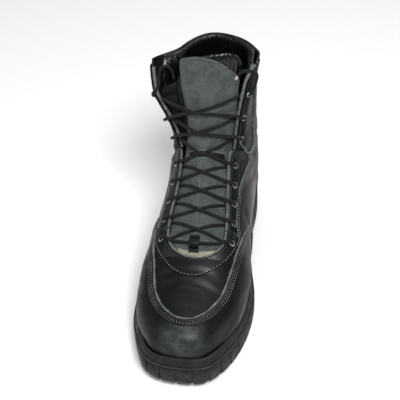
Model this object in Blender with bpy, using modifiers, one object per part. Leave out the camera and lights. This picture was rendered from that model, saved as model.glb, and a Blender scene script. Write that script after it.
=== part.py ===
"""Right tactical boot, standing on its sole: toe towards -Y, medial side towards +X, up +Z, metres.

The upper is one shell, lofted through the rows of SECTIONS. Each section starts on the boot's top
centre line and ends on the feather line (where the leather meets the sole) or, above the heel,
on the centre line of the back. Every overlay, eyelet and strand of lace is placed by the same
function, leather().
"""

import math
from functools import lru_cache

import bmesh
import bpy
from mathutils import Vector

# Driving dimensions of the boot, in metres
LENGTH = 0.308  # outsole, toe to heel
BALL_WIDTH = 0.119  # outsole across the ball
COLLAR_WIDTH = 0.1  # shaft across the collar, outside
INSTEP_HEIGHT = 0.086  # floor to the bottom of the throat
SHAFT_HEIGHT = 0.24  # floor to the top of the shaft's front
BACK_HEIGHT = 0.216  # floor to the top of the shaft's back
CENTRE = 0.068  # the centre line's x, as a share of half BALL_WIDTH to the medial side
CENTRE_X = CENTRE * BALL_WIDTH / 2

# Sole heights above the floor: (toe, ball, waist, heel)
STATIONS = (0.0, 0.36, 0.6, 1.0)
FLOOR_HEIGHTS = (0.033, 0.022, 0.027, 0.035)  # the midsole's floor, on which the upper stands
OUTSOLE_HEIGHTS = (0.0265, 0.0165, 0.0205, 0.0275)  # the step between outsole and midsole

# Wall thicknesses and gaps
WALL = 0.0024
OVERLAY = 0.0013
SEAM_GAP = 0.0003  # between pieces that touch on the real boot
FOOT_GAP = 0.0014  # under the upper's bottom edge, hidden by the rand
OVERLAY_GAP = 0.0006  # the same over curved, faceted leather
TONGUE_FACE = 0.0016
TONGUE_PAD = 0.0045
TONGUE_GAP = 0.0012

# Sole edge
FEATHER_INSET = 0.0074  # from the outsole's outline in to the upper's bottom edge
LIP_HEIGHT = 0.0045  # the midsole's rand above its own floor
LIP_INSET = 0.0042
TUCK_HEIGHT = 0.0055  # the upper runs straight up from the feather line this far, inside the rand
TUCK_SLOPE = 0.05
INSOLE_THICKNESS = 0.004

# Tread
LUG_DEPTH = 0.006
GROOVE_WIDTH = 0.0032
GROOVE_REACH = 0.019
RIB_DEPTH = 0.0015
SPINE_END = 0.05  # the lugs fan out round points this far from the toe and the heel
TOE_SPRING = 0.0065
WAIST_RISE = 0.007
HEEL_BEVEL = 0.004

# Throat and lacing
THROAT_RADIUS = 0.028
EYELET_INSET = 0.0078  # from the throat's edge to the middle of an eyelet
EYELET_RADIUS = 0.0031
EYELET_WIRE = 0.0009
LACE_RADIUS = 0.0016
LOWER_EYELETS = (0.021, 0.042, 0.0615, 0.08, 0.0985)  # along the top line, from the throat's bottom
UPPER_EYELETS = (0.127, 0.148, 0.169)

# How full the sections are: 2 is an ellipse, more is boxier
ROUND = 2.15
COLLAR_ROUND = 2.7
COLLAR_BACK_ROUND = 1.7

# How far the front corners of the open shaft stand out
FLARE_LATERAL = 0.0185
FLARE_MEDIAL = 0.004
FLARE_REACH = 0.032
FLARE_DROP = 0.62  # the lateral corner also leans down, by this share of its flare
DROP_REACH = 0.075  # how far back from the corner the collar dips

MEDIAL, LATERAL = 1, -1
SIDES = ((MEDIAL, "medial"), (LATERAL, "lateral"))

# Outsole outline: share of LENGTH from the toe, then medial and lateral x as shares of half BALL_WIDTH
OUTLINE = (
    (0.000, CENTRE, CENTRE),
    (0.012, 0.400, -0.410),
    (0.045, 0.580, -0.645),
    (0.100, 0.745, -0.790),
    (0.190, 0.915, -0.945),
    (0.290, 1.000, -1.000),
    (0.370, 0.990, -1.000),
    (0.480, 0.880, -0.910),
    (0.585, 0.795, -0.805),
    (0.700, 0.770, -0.725),
    (0.810, 0.785, -0.690),
    (0.890, 0.745, -0.650),
    (0.955, 0.590, -0.490),
    (0.990, 0.335, -0.205),
    (1.000, CENTRE, CENTRE),
)

# Sections of the upper, toe to collar. along: top end, share of LENGTH. rise: top end, 0 the toe's
# feather, 1 INSTEP_HEIGHT, 2 SHAFT_HEIGHT. foot: lower end, 0 to 1 round the feather line from toe
# to heel, 1 to 2 up the back. back: share of LENGTH of the back line. medial, lateral: widest
# half width, shares of half BALL_WIDTH, of half COLLAR_WIDTH at the collar. peak: where it is widest.
SECTIONS = (
    # name       along  rise   foot   back   medial lateral peak
    ("tip",      0.024, 0.000, 0.000, 0.976, 0.000, 0.000, 1.00),
    ("toe wall", 0.021, 0.235, 0.058, 0.976, 0.300, 0.280, 1.00),
    ("toe cap",  0.038, 0.430, 0.118, 0.976, 0.525, 0.600, 0.92),
    ("toe top",  0.072, 0.545, 0.170, 0.976, 0.670, 0.790, 0.82),
    ("toe box",  0.130, 0.635, 0.228, 0.976, 0.790, 0.915, 0.75),
    ("joint",    0.208, 0.750, 0.305, 0.976, 0.850, 0.985, 0.70),
    ("throat",   0.305, 1.000, 0.390, 0.976, 0.870, 0.985, 0.66),
    ("waist",    0.395, 1.110, 0.490, 0.976, 0.820, 0.900, 0.64),
    ("instep",   0.485, 1.247, 0.610, 0.976, 0.780, 0.785, 0.60),
    ("ankle",    0.553, 1.360, 0.745, 0.976, 0.775, 0.715, 0.56),
    ("heel",     0.578, 1.442, 0.865, 0.976, 0.770, 0.675, 0.54),
    ("turn",     0.589, 1.512, 0.935, 0.976, 0.765, 0.665, 0.52),
    ("seat",     0.597, 1.578, 1.000, 0.976, 0.760, 0.660, 0.50),
    ("counter",  0.610, 1.675, 1.220, 0.984, 0.770, 0.692, 0.50),
    ("achilles", 0.622, 1.762, 1.460, 0.965, 0.800, 0.752, 0.50),
    ("shaft",    0.633, 1.845, 1.670, 0.947, 0.850, 0.800, 0.50),
    ("cuff",     0.642, 1.922, 1.840, 0.940, 0.890, 0.790, 0.46),
    ("collar",   0.650, 2.000, 2.000, 0.942, 0.920, 0.790, 0.42),
)

# The throat's half opening round the surface, in THROAT_RADIUS, by distance up the top line as a
# share of the whole throat. It steps out at the ankle, where the shaft's two flaps begin, and the
# last rows round off the flaps' front corners.
THROAT = (
    # share medial lateral
    (0.00, 1.00, 1.10),
    (0.20, 1.00, 1.15),
    (0.35, 0.95, 1.02),
    (0.50, 0.90, 0.94),
    (0.545, 0.95, 0.95),
    (0.585, 1.20, 1.14),
    (0.66, 1.24, 1.28),
    (0.80, 1.27, 1.50),
    (0.90, 1.36, 1.72),
    (0.96, 1.62, 1.86),
    (1.00, 2.20, 2.12),
)

# The tongue's edges round the surface, in THROAT_RADIUS, by the same share of the throat
TONGUE = (
    # share lateral medial
    (-0.10, 0.85, 0.85),
    (0.00, 1.16, 1.16),
    (0.38, 1.14, 1.14),
    (0.55, 0.80, 1.14),
    (0.75, 0.70, 1.22),
    (1.10, 0.62, 1.24),
)

# The raised seam round the toe's apron: share of the whole throat below the throat's bottom
# (negative is up the top line), distance round the surface in THROAT_RADIUS, medial positive
APRON = (
    # share distance
    (-0.13, -1.76),
    (0.02, -1.62),
    (0.14, -1.40),
    (0.245, -0.98),
    (0.325, -0.34),
    (0.318, 0.36),
    (0.235, 0.94),
    (0.10, 1.30),
    (-0.02, 1.53),
    (-0.12, 1.78),
    (-0.15, 1.92),
)


def mix(a, b, share):
    return a + (b - a) * share


def clamp(value, low=0.0, high=1.0):
    return max(low, min(high, value))


def ease(share):
    share = clamp(share)
    return share * share * (3 - 2 * share)


def smooth(xs, ys, x):
    """A curve through the points (xs, ys), with no overshoot between them."""
    last = len(xs) - 1
    if x <= xs[0]:
        return ys[0]
    if x >= xs[last]:
        return ys[last]
    k = max(i for i in range(last) if xs[i] <= x)

    def slope(i):
        if i in (0, last):
            j = min(i, last - 1)
            return (ys[j + 1] - ys[j]) / (xs[j + 1] - xs[j])
        before = (ys[i] - ys[i - 1]) / (xs[i] - xs[i - 1])
        after = (ys[i + 1] - ys[i]) / (xs[i + 1] - xs[i])
        if before * after <= 0:
            return 0.0
        return 2 * before * after / (before + after)

    width = xs[k + 1] - xs[k]
    s = (x - xs[k]) / width
    h00 = (1 + 2 * s) * (1 - s) ** 2
    h10 = s * (1 - s) ** 2
    h01 = s * s * (3 - 2 * s)
    h11 = s * s * (s - 1)
    return (
        h00 * ys[k] + h10 * width * slope(k) + h01 * ys[k + 1] + h11 * width * slope(k + 1)
    )


def spline(points, steps):
    """A rounded line through points: Catmull-Rom, spaced by the chord's root."""
    line = []
    ends = [2 * points[0] - points[1], *points, 2 * points[-1] - points[-2]]
    for k in range(1, len(ends) - 2):
        p0, p1, p2, p3 = ends[k - 1 : k + 3]
        t0 = 0.0
        t1 = t0 + (p1 - p0).length ** 0.5
        t2 = t1 + (p2 - p1).length ** 0.5
        t3 = t2 + (p3 - p2).length ** 0.5
        for step in range(steps):
            t = mix(t1, t2, step / steps)
            a1 = mix(p0, p1, (t - t0) / (t1 - t0))
            a2 = mix(p1, p2, (t - t1) / (t2 - t1))
            a3 = mix(p2, p3, (t - t2) / (t3 - t2))
            b1 = mix(a1, a2, (t - t0) / (t2 - t0))
            b2 = mix(a2, a3, (t - t1) / (t3 - t1))
            line.append(mix(b1, b2, (t - t1) / (t2 - t1)))
    line.append(points[-1])
    return line


def lengths(line):
    """Distance along a line to each of its points."""
    total = [0.0]
    for a, b in zip(line, line[1:]):
        total.append(total[-1] + (b - a).length)
    return total


def at_length(line, along, distance):
    """The point of a line at a distance along it, read from its lengths."""
    low, high = 0, len(along) - 1
    while high - low > 1:
        middle = (low + high) // 2
        if along[middle] <= distance:
            low = middle
        else:
            high = middle
    span = along[high] - along[low]
    share = (distance - along[low]) / span if span else 0.0
    return mix(line[low], line[high], share)


@lru_cache(maxsize=None)
def rim(side, inset):
    """One side of the outsole's outline from toe to heel, moved in by inset: 2D points (x, y)."""
    half = BALL_WIDTH / 2
    column = 1 if side == MEDIAL else 2
    points = [Vector((row[column] * half, (row[0] - 0.5) * LENGTH)) for row in OUTLINE]
    ahead = Vector((-points[1].x + 2 * points[0].x, points[1].y))
    behind = Vector((-points[-2].x + 2 * points[-1].x, points[-2].y))
    steps = 12
    line = spline([ahead, *points, behind], steps)[steps:-steps]
    moved = []
    for k, point in enumerate(line):
        if k == 0:
            inward = Vector((0, 1))
        elif k == len(line) - 1:
            inward = Vector((0, -1))
        else:
            run = (line[k + 1] - line[k - 1]).normalized()
            inward = Vector((-run.y, run.x)) * side
        moved.append(point + inward * inset)
    return moved


@lru_cache(maxsize=None)
def rim_lengths(side, inset):
    return lengths(rim(side, inset))


def rim_point(side, inset, share):
    along = rim_lengths(side, inset)
    return at_length(rim(side, inset), along, clamp(share) * along[-1])


def height_at(heights, y):
    """A sole height at a place y along the boot."""
    return smooth(STATIONS, heights, y / LENGTH + 0.5)


@lru_cache(maxsize=None)
def section_places():
    """Where each row of SECTIONS lies, 0 at the toe and 1 at the collar, by the way its ends move."""
    places = [0.0]
    for a, b in zip(SECTIONS, SECTIONS[1:]):
        top = math.hypot((b[1] - a[1]) * LENGTH, top_height(b[2]) - top_height(a[2]))
        foot = (b[3] - a[3]) * LENGTH
        places.append(places[-1] + top + foot)
    return tuple(place / places[-1] for place in places)


def top_height(rise):
    if rise <= 1:
        return mix(FLOOR_HEIGHTS[0] + FOOT_GAP, INSTEP_HEIGHT, rise)
    return mix(INSTEP_HEIGHT, SHAFT_HEIGHT, rise - 1)


def section_value(column, t):
    return smooth(section_places(), [row[column] for row in SECTIONS], t)


def top_point(t):
    """The top centre line, from the toe over the throat to the collar's front."""
    along = section_value(1, t)
    return Vector((CENTRE_X, (along - 0.5) * LENGTH, top_height(section_value(2, t))))


def foot_point(t, side):
    """The lower end of a section: on the feather line, or on the back's centre line."""
    foot = section_value(3, t)
    if foot < 1:
        flat = rim_point(side, FEATHER_INSET, foot)
        return Vector((flat.x, flat.y, height_at(FLOOR_HEIGHTS, flat.y) + FOOT_GAP))
    seat = height_at(FLOOR_HEIGHTS, LENGTH / 2) + FOOT_GAP
    along = section_value(4, t)
    return Vector((CENTRE_X, (along - 0.5) * LENGTH, mix(seat, BACK_HEIGHT, foot - 1)))


def tucked(end, rise, foot):
    """The most a section spreads a little above its foot, where the rand holds it in."""
    free = ease((0.06 - foot) / 0.04) + ease((foot - 0.94) / 0.05)
    return end + TUCK_SLOPE * rise + max(0.0, rise - TUCK_HEIGHT) + free * BALL_WIDTH


@lru_cache(maxsize=None)
def section(t, side):
    """The line of one section, from its top to its foot, as 3D points."""
    top, foot = top_point(t), foot_point(t, side)
    share = section_value(3, t)
    climb = clamp(share - 1)
    scale = mix(BALL_WIDTH, COLLAR_WIDTH, climb) / 2
    peak = section_value(7, t)
    end = max(0.0, side * (foot.x - CENTRE_X))
    wide = max(section_value(5 if side == MEDIAL else 6, t) * scale, end, 1e-6)
    full = mix(ROUND, COLLAR_ROUND, climb)
    behind = mix(ROUND, COLLAR_BACK_ROUND, climb)
    kept = (end / wide) ** behind
    bow = 1 - ease((share - 0.15) / 0.2)
    steps = 32
    shape = []
    for k in range(steps):
        angle = k / steps * math.pi / 2
        q = peak * (1 - math.cos(angle) ** (2 / full))
        shape.append((q, wide * math.sin(angle) ** (2 / full)))
    for k in range(steps + 1):
        down = math.sin(k / steps * math.pi / 2)
        x = wide * max(0.0, 1 - (1 - kept) * down**behind) ** (1 / behind)
        shape.append((mix(peak, 1, down), x))
    line = []
    for q, x in shape:
        z = mix(top.z, foot.z, q)
        if climb == 0 and q > peak:
            x = min(x, tucked(end, z - foot.z, share))
        out = 1.0 if q >= peak else clamp(x / max(end, 1e-6)) ** 2
        y = mix(top.y, foot.y, mix(q, out, bow))
        line.append(Vector((CENTRE_X + side * x, y, z)))
    return line


@lru_cache(maxsize=None)
def section_lengths(t, side):
    return lengths(section(t, side))


def raw_point(t, side, distance):
    """A point on the closed last's surface: distance round section t from its top."""
    along = section_lengths(t, side)
    return at_length(section(t, side), along, clamp(distance, 0, along[-1]))


@lru_cache(maxsize=None)
def last_point(t, across):
    """The last's surface at place t, across from the top line; medial is positive."""
    return raw_point(t, MEDIAL if across >= 0 else LATERAL, abs(across))


def slopes(t, across):
    """How the surface's point moves with t and with the distance across."""
    step, reach = 0.002, 0.001
    low, high = max(0.0, t - step), min(1.0, t + step)
    side = MEDIAL if across >= 0 else LATERAL
    full = section_lengths(t, side)[-1]
    if abs(across) > full - reach:
        across = side * (full - reach)
    by_t = (last_point(high, across) - last_point(low, across)) / (high - low)
    by_across = (last_point(t, across + reach) - last_point(t, across - reach)) / (2 * reach)
    return by_t, by_across


def last(t, across, lift=0.0):
    """A point on the last, raised along its normal by lift."""
    point = last_point(t, across)
    if lift == 0:
        return point
    by_t, by_across = slopes(t, across)
    normal = by_across.cross(by_t)
    if abs(point.x - CENTRE_X) < 1e-6:
        normal.x = 0
    return point + normal.normalized() * lift


def flare(t, across):
    """How far the leather of the open shaft stands out beyond the last."""
    rise = ease((t - ANKLE) / (1 - ANKLE))
    side = MEDIAL if across >= 0 else LATERAL
    behind = abs(across) - throat_edge(t, side)
    near = ease(1 - behind / FLARE_REACH)
    if across >= 0:
        return Vector((FLARE_MEDIAL * rise * near, 0, 0))
    dip = FLARE_DROP * ease(1 - behind / DROP_REACH)
    return Vector((-near, 0, -dip)) * (FLARE_LATERAL * rise)


def leather(t, across, lift=0.0):
    """A point on the upper's outside, raised along the surface's normal by lift."""
    return last(t, across, lift) + flare(t, across)


def march(t, across, heading, distance):
    """The place reached from (t, across) by walking over the surface towards heading."""
    steps = max(1, math.ceil(distance / 0.004))
    for _ in range(steps):
        by_t, by_across = slopes(t, across)
        tt, ta, aa = by_t.dot(by_t), by_t.dot(by_across), by_across.dot(by_across)
        ht, ha = heading.dot(by_t), heading.dot(by_across)
        det = tt * aa - ta * ta
        move_t = (ht * aa - ha * ta) / det
        move_a = (ha * tt - ht * ta) / det
        moved = (by_t * move_t + by_across * move_a).length
        scale = distance / steps / moved
        t = clamp(t + move_t * scale)
        across += move_a * scale
    return t, across


def place_of(distance):
    """The place t of the point that lies a distance up the top line from the throat's bottom."""
    start = throat_start()
    low, high = start, 1.0
    for _ in range(24):
        middle = (low + high) / 2
        if top_run(middle) - top_run(start) < distance:
            low = middle
        else:
            high = middle
    return (low + high) / 2


@lru_cache(maxsize=None)
def top_line():
    steps = 400
    line = [top_point(k / steps) for k in range(steps + 1)]
    return lengths(line)


def top_run(t):
    """Distance up the top line from the toe to place t."""
    along = top_line()
    k = clamp(t) * (len(along) - 1)
    low = min(int(k), len(along) - 2)
    return mix(along[low], along[low + 1], k - low)


def place_named(name):
    return section_places()[[row[0] for row in SECTIONS].index(name)]


def throat_start():
    return place_named("throat")


@lru_cache(maxsize=None)
def throat_edge(t, side):
    """Distance round the section from the top centre line to the throat's edge."""
    run = top_run(t) - top_run(throat_start())
    if run <= 0:
        return 0.0
    column = 1 if side == MEDIAL else 2
    shares = [row[0] for row in THROAT]
    wide = THROAT_RADIUS * smooth(shares, [row[column] for row in THROAT], run / whole_throat())
    if run >= THROAT_RADIUS:
        return wide
    return wide * math.sqrt(1 - (1 - run / THROAT_RADIUS) ** 2)


def whole_throat():
    return top_run(1.0) - top_run(throat_start())


ANKLE = place_named("instep")


def clear_scene():
    for obj in list(bpy.data.objects):
        bpy.data.objects.remove(obj, do_unlink=True)
    for name in ("Tactical boot", "Cutters"):
        old = bpy.data.collections.get(name)
        if old:
            bpy.data.collections.remove(old)
        collection = bpy.data.collections.new(name)
        bpy.context.scene.collection.children.link(collection)
    bpy.data.collections["Cutters"].hide_render = True


@lru_cache(maxsize=None)
def material(name, colour, roughness, metallic=0.0):
    made = bpy.data.materials.new(name)
    made.use_nodes = True
    shader = made.node_tree.nodes["Principled BSDF"]
    shader.inputs["Base Color"].default_value = (*colour, 1)
    shader.inputs["Roughness"].default_value = roughness
    shader.inputs["Metallic"].default_value = metallic
    return made


def black_leather():
    return material("black leather", (0.018, 0.02, 0.021), 0.42)


def grey_suede():
    return material("grey suede", (0.1, 0.115, 0.118), 0.9)


def black_rubber():
    return material("black rubber", (0.03, 0.029, 0.027), 0.7)


def lining_cloth():
    return material("black lining", (0.012, 0.013, 0.014), 0.35)


def black_cord():
    return material("black cord", (0.02, 0.021, 0.023), 0.75)


def worn_metal():
    return material("worn metal", (0.3, 0.31, 0.3), 0.4, 0.9)


def add_object(name, mesh, finish, smooth_under=math.radians(50), cutter=False):
    obj = bpy.data.objects.new(name, mesh)
    bpy.data.collections["Cutters" if cutter else "Tactical boot"].objects.link(obj)
    obj.hide_render = cutter
    if cutter:
        obj.display_type = "WIRE"
        return obj
    mesh.materials.append(finish)
    mesh.shade_smooth()
    mesh.set_sharp_from_angle(angle=smooth_under)
    return obj


def mesh_from(bm, name, weld=1e-6):
    bmesh.ops.remove_doubles(bm, verts=bm.verts, dist=weld)
    bmesh.ops.recalc_face_normals(bm, faces=bm.faces)
    mesh = bpy.data.meshes.new(name)
    bm.to_mesh(mesh)
    bm.free()
    return mesh


def skin(bm, rows, closed=False):
    """Faces between neighbouring rows of points; a closed row's last point joins its first."""
    made = [[bm.verts.new(point) for point in row] for row in rows]
    for a, b in zip(made, made[1:]):
        count = len(a)
        for k in range(count if closed else count - 1):
            j = (k + 1) % count
            bm.faces.new((a[k], a[j], b[j], b[k]))
    return made


def slab(name, grid, under, finish):
    """A closed sheet: grid is its outer face and under its inner face, rows of points alike."""
    bm = bmesh.new()
    ring_rows = []
    for outer, inner in zip(grid, under):
        ring_rows.append([*outer, *reversed(inner)])
    made = skin(bm, ring_rows, closed=True)
    for row in (made[0], made[-1]):
        half = len(row) // 2
        for k in range(half - 1):
            bm.faces.new((row[k], row[k + 1], row[-k - 2], row[-k - 1]))
    return add_object(name, mesh_from(bm, name), finish)


def cut(obj, cutter):
    modifier = obj.modifiers.new("Cut " + cutter.name, "BOOLEAN")
    modifier.operation = "DIFFERENCE"
    modifier.solver = "EXACT"
    modifier.object = cutter
    return modifier


def share_list(start, end, count, ends=False):
    """Shares from start to end, closer together towards both ends if asked."""
    shares = [k / (count - 1) for k in range(count)]
    if ends:
        shares = [0.5 - 0.5 * math.cos(share * math.pi) for share in shares]
    return [mix(start, end, share) for share in shares]


def rim_ring(inset, count):
    """The whole outline moved in by inset: medial side toe to heel, then lateral back to the toe."""
    shares = [mix(a, b, 0.4) for a, b in zip(share_list(0, 1, count), share_list(0, 1, count, True))]
    medial = [rim_point(MEDIAL, inset, share) for share in shares]
    lateral = [rim_point(LATERAL, inset, share) for share in shares]
    return medial + lateral[-2:0:-1]


def cap(bm, ring, count):
    """Closes a ring from rim_ring with strips across the boot."""
    medial = ring[:count]
    lateral = [ring[0], *reversed(ring[count:]), ring[count - 1]]
    for k in range(count - 1):
        corners = []
        for vert in (medial[k], medial[k + 1], lateral[k + 1], lateral[k]):
            if vert not in corners:
                corners.append(vert)
        bm.faces.new(corners)


def sole_loft(name, levels, count, finish):
    """A sole layer: levels are (inset, height function of y), from its bottom to its top."""
    bm = bmesh.new()
    rows = []
    for inset, height in levels:
        rows.append([(p.x, p.y, height(p.y)) for p in rim_ring(inset, count)])
    made = skin(bm, rows, closed=True)
    cap(bm, made[0], count)
    cap(bm, made[-1], count)
    return add_object(name, mesh_from(bm, name), finish)


def tread_height(y):
    """The outsole's lowest face: toe spring, flat forefoot, raised waist, flat heel, heel bevel."""
    share = y / LENGTH + 0.5
    spring = TOE_SPRING * (1 - ease(share / 0.17)) ** 1.4
    waist = WAIST_RISE * (ease((share - 0.5) / 0.07) - ease((share - 0.69) / 0.015))
    bevel = HEEL_BEVEL * ease((share - 0.93) / 0.07)
    return spring + waist + bevel


def step_height(y):
    return height_at(OUTSOLE_HEIGHTS, y)


def floor_height(y):
    return height_at(FLOOR_HEIGHTS, y)


def toward_spine(side, share, reach):
    """A point inside the outline: from the rim straight towards the sole's spine."""
    spot = rim_point(side, 0, share)
    end = LENGTH / 2 - SPINE_END
    spine = Vector((CENTRE_X, clamp(spot.y, -end, end)))
    return spot + (spine - spot).normalized() * reach


def groove_cutter(bm, side, share, width=GROOVE_WIDTH, reach=GROOVE_REACH):
    """An L-shaped bar: a lug groove under the sole and a shallow rib groove up its side."""
    spot = rim_point(side, 0, share)
    inward = (toward_spine(side, share, reach) - spot).normalized()
    along = Vector((-inward.y, inward.x)) * width / 2
    low = -0.004
    out = -0.006
    top = step_height(spot.y) - 0.0015
    lug = tread_height(spot.y) + LUG_DEPTH
    profile = (
        (out, low),
        (reach, low),
        (reach, lug),
        (RIB_DEPTH + 0.0006, lug),
        (RIB_DEPTH, top),
        (out, top),
    )
    rows = []
    for way in (-1, 1):
        rows.append(
            [
                (
                    spot.x + inward.x * r + along.x * way,
                    spot.y + inward.y * r + along.y * way,
                    z,
                )
                for r, z in profile
            ]
        )
    made = skin(bm, rows, closed=True)
    bm.faces.new(made[0])
    bm.faces.new(made[1])


FOREFOOT_GROOVES = 11
HEEL_GROOVES = 5


def groove_shares():
    """Places of the grooves round one side of the sole, as shares of the rim."""
    front = share_list(0.022, 0.47, FOREFOOT_GROOVES)
    back = share_list(0.72, 0.955, HEEL_GROOVES)
    return front + back


def channel_cutter(name, start, end, count, inset, width):
    """A groove that follows the rim at an inset, from one share of it to another, on both sides."""
    bm = bmesh.new()
    for side, _ in SIDES:
        rows = []
        for share in share_list(start, end, count):
            near = toward_spine(side, share, inset)
            far = toward_spine(side, share, inset + width)
            depth = tread_height(near.y) + LUG_DEPTH * 0.8
            rows.append(
                [
                    (near.x, near.y, -0.004),
                    (far.x, far.y, -0.004),
                    (far.x, far.y, depth),
                    (near.x, near.y, depth),
                ]
            )
        made = skin(bm, rows, closed=True)
        bm.faces.new(made[0])
        bm.faces.new(made[-1])
    return add_object(name, mesh_from(bm, name), None, cutter=True)


def cross_cutter(name, shares):
    """Bars across the middle of the tread, between the two channels."""
    bm = bmesh.new()
    reach = GROOVE_REACH - 0.001
    for share in shares:
        y = (share - 0.5) * LENGTH
        ends = []
        for side, _ in SIDES:
            half = min(rim(side, 0), key=lambda p: abs(p.y - y)).x
            ends.append(half - side * reach)
        bar = bmesh.ops.create_cube(bm, size=1)["verts"]
        lug = tread_height(y) + LUG_DEPTH * 0.8
        bmesh.ops.scale(bm, verts=bar, vec=(ends[0] - ends[1], GROOVE_WIDTH, lug + 0.004))
        middle = ((ends[0] + ends[1]) / 2, y, (lug - 0.004) / 2)
        bmesh.ops.translate(bm, verts=bar, vec=middle)
    return add_object(name, mesh_from(bm, name), None, cutter=True)


def make_outsole():
    """Rubber outsole: stepped side, lugs all round, cleated middle."""

    def low_edge(y):
        return tread_height(y) + 0.0028

    def mid_edge(y):
        return mix(tread_height(y), step_height(y), 0.62)

    levels = (
        (0.0028, tread_height),
        (0.0004, low_edge),
        (0.0, mid_edge),
        (0.0006, lambda y: step_height(y) - 0.0014),
        (0.0026, step_height),
    )
    sole = sole_loft("outsole", levels, 28, black_rubber())
    bm = bmesh.new()
    for side, _ in SIDES:
        for share in groove_shares():
            groove_cutter(bm, side, share)
    grooves = add_object("lug_grooves", mesh_from(bm, "lug_grooves"), None, cutter=True)
    cut(sole, grooves)
    inner = GROOVE_REACH - 0.003
    cut(sole, channel_cutter("front_channel", 0.03, 0.475, 12, inner, 0.0045))
    cut(sole, channel_cutter("heel_channel", 0.715, 0.955, 7, inner, 0.0045))
    cut(sole, cross_cutter("cleats", (0.12, 0.19, 0.26, 0.33, 0.4, 0.47, 0.76, 0.83, 0.9)))
    return sole


def make_midsole():
    """Rubber midsole: a band round the foot with a rand that laps the leather."""
    lip = FEATHER_INSET - 0.0009
    levels = (
        (0.0030, lambda y: step_height(y) + SEAM_GAP),
        (0.0012, lambda y: step_height(y) + 0.0016),
        (0.0016, lambda y: mix(step_height(y), floor_height(y), 0.7)),
        (LIP_INSET - 0.0004, lambda y: floor_height(y) + LIP_HEIGHT - 0.0007),
        (LIP_INSET + 0.0008, lambda y: floor_height(y) + LIP_HEIGHT),
        (lip, lambda y: floor_height(y) + LIP_HEIGHT - 0.0005),
        (lip, floor_height),
    )
    return sole_loft("midsole", levels, 29, black_rubber())


def make_insole():
    edge = FEATHER_INSET + WALL + 0.0045
    levels = (
        (edge, lambda y: floor_height(y) + SEAM_GAP),
        (edge - 0.0004, lambda y: floor_height(y) + SEAM_GAP + INSOLE_THICKNESS * 0.8),
        (edge + 0.001, lambda y: floor_height(y) + SEAM_GAP + INSOLE_THICKNESS),
    )
    return sole_loft("insole", levels, 17, lining_cloth())


def upper_places():
    """The sections that the upper's mesh is drawn through, closer round the throat's bottom."""
    start = throat_start()
    toe = share_list(0.0, start, 12)
    bend = [place_of(THROAT_RADIUS * share) for share in (0.06, 0.2, 0.42, 0.72)]
    waist = share_list(place_of(THROAT_RADIUS * 1.1), place_named("ankle"), 7)
    heel = share_list(place_named("ankle"), place_named("seat") + 0.01, 8)[1:]
    shaft = share_list(place_named("seat") + 0.01, 1.0, 10)[1:]
    return toe + bend + waist + heel + shaft


COLUMNS = 10
FOOT_BAND = 0.006  # the last row of faces, inside the rand


def column_places(t, side):
    """Distances round section t of the mesh's columns, from the throat's edge to the foot."""
    full = section_lengths(t, side)[-1]
    edge = throat_edge(t, side)
    run = max(0.0, top_run(t) - top_run(throat_start()))
    power = mix(3, 1, ease(run / (3 * THROAT_RADIUS)))
    foot = full - FOOT_BAND
    places = [foot * s + edge * (1 - s) ** power for s in share_list(0, 1, COLUMNS)]
    return [*places, full]


def make_upper():
    bm = bmesh.new()
    for side, _ in SIDES:
        rows = []
        for t in upper_places():
            rows.append([leather(t, side * d) for d in column_places(t, side)])
        skin(bm, rows)
    bmesh.ops.remove_doubles(bm, verts=bm.verts, dist=2e-5)
    bmesh.ops.dissolve_degenerate(bm, edges=bm.edges, dist=2e-5)
    upper = add_object("upper", mesh_from(bm, "upper"), black_leather())
    wall = upper.modifiers.new("Wall", "SOLIDIFY")
    wall.thickness = WALL
    wall.offset = -1
    wall.use_even_offset = True
    return upper


def strip(name, rows, finish, low, high):
    """A sheet on the leather: rows of places (t, across), from lift low to lift high."""
    outer = [[leather(t, across, high) for t, across in row] for row in rows]
    inner = [[leather(t, across, low) for t, across in row] for row in rows]
    return slab(name, outer, inner, finish)


def band(name, path, starts, ends, count, finish, low, high):
    """A strip beside a path of places, from starts to ends away from it, to its right hand."""
    rows = []
    points = [last(*place) for place in path]
    for k, (t, across) in enumerate(path):
        run = points[min(k + 1, len(path) - 1)] - points[max(k - 1, 0)]
        by_t, by_across = slopes(t, across)
        normal = by_across.cross(by_t).normalized()
        right = run.cross(normal).normalized()
        row = []
        for share in share_list(0, 1, count):
            reach = mix(starts[k], ends[k], share)
            heading = right if reach >= 0 else -right
            row.append(march(t, across, heading, abs(reach)) if reach else (t, across))
        rows.append(row)
    return strip(name, rows, finish, low, high)


def place_up(share):
    """The place t at a share of the whole throat up the top line from the throat's bottom."""
    distance = share * whole_throat()
    if distance >= 0:
        return place_of(distance)
    low, high = 0.0, throat_start()
    for _ in range(24):
        middle = (low + high) / 2
        if top_run(middle) - top_run(throat_start()) < distance:
            low = middle
        else:
            high = middle
    return (low + high) / 2


def throat_path(reach, count):
    """Places on the throat's edge, from reach up its lateral side round to its medial side."""
    places = [
        place_of(reach * (1 - math.cos(k / count * math.pi / 2))) for k in range(1, count + 1)
    ]
    lateral = [(t, -throat_edge(t, LATERAL)) for t in reversed(places)]
    medial = [(t, throat_edge(t, MEDIAL)) for t in places]
    return lateral + [(throat_start(), 0.0)] + medial


LOW = OVERLAY_GAP
HIGH = OVERLAY_GAP + OVERLAY
EYELET_GAP = 0.0006  # under the rings, over the facings' facets


SADDLE_GAP = 0.0014
SADDLE_REACH = 0.0205  # from the throat's edge, in front of its bottom
SADDLE_WINGS = (0.0116, 0.0142)  # the same at its lateral and medial ends
FACING_INSET = 0.0009  # the raw edge of the throat that the overlays leave bare
SADDLE_TOP = (LOWER_EYELETS[0] + LOWER_EYELETS[1]) / 2
ANKLE_BREAK = (LOWER_EYELETS[-1] + UPPER_EYELETS[0]) / 2


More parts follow.
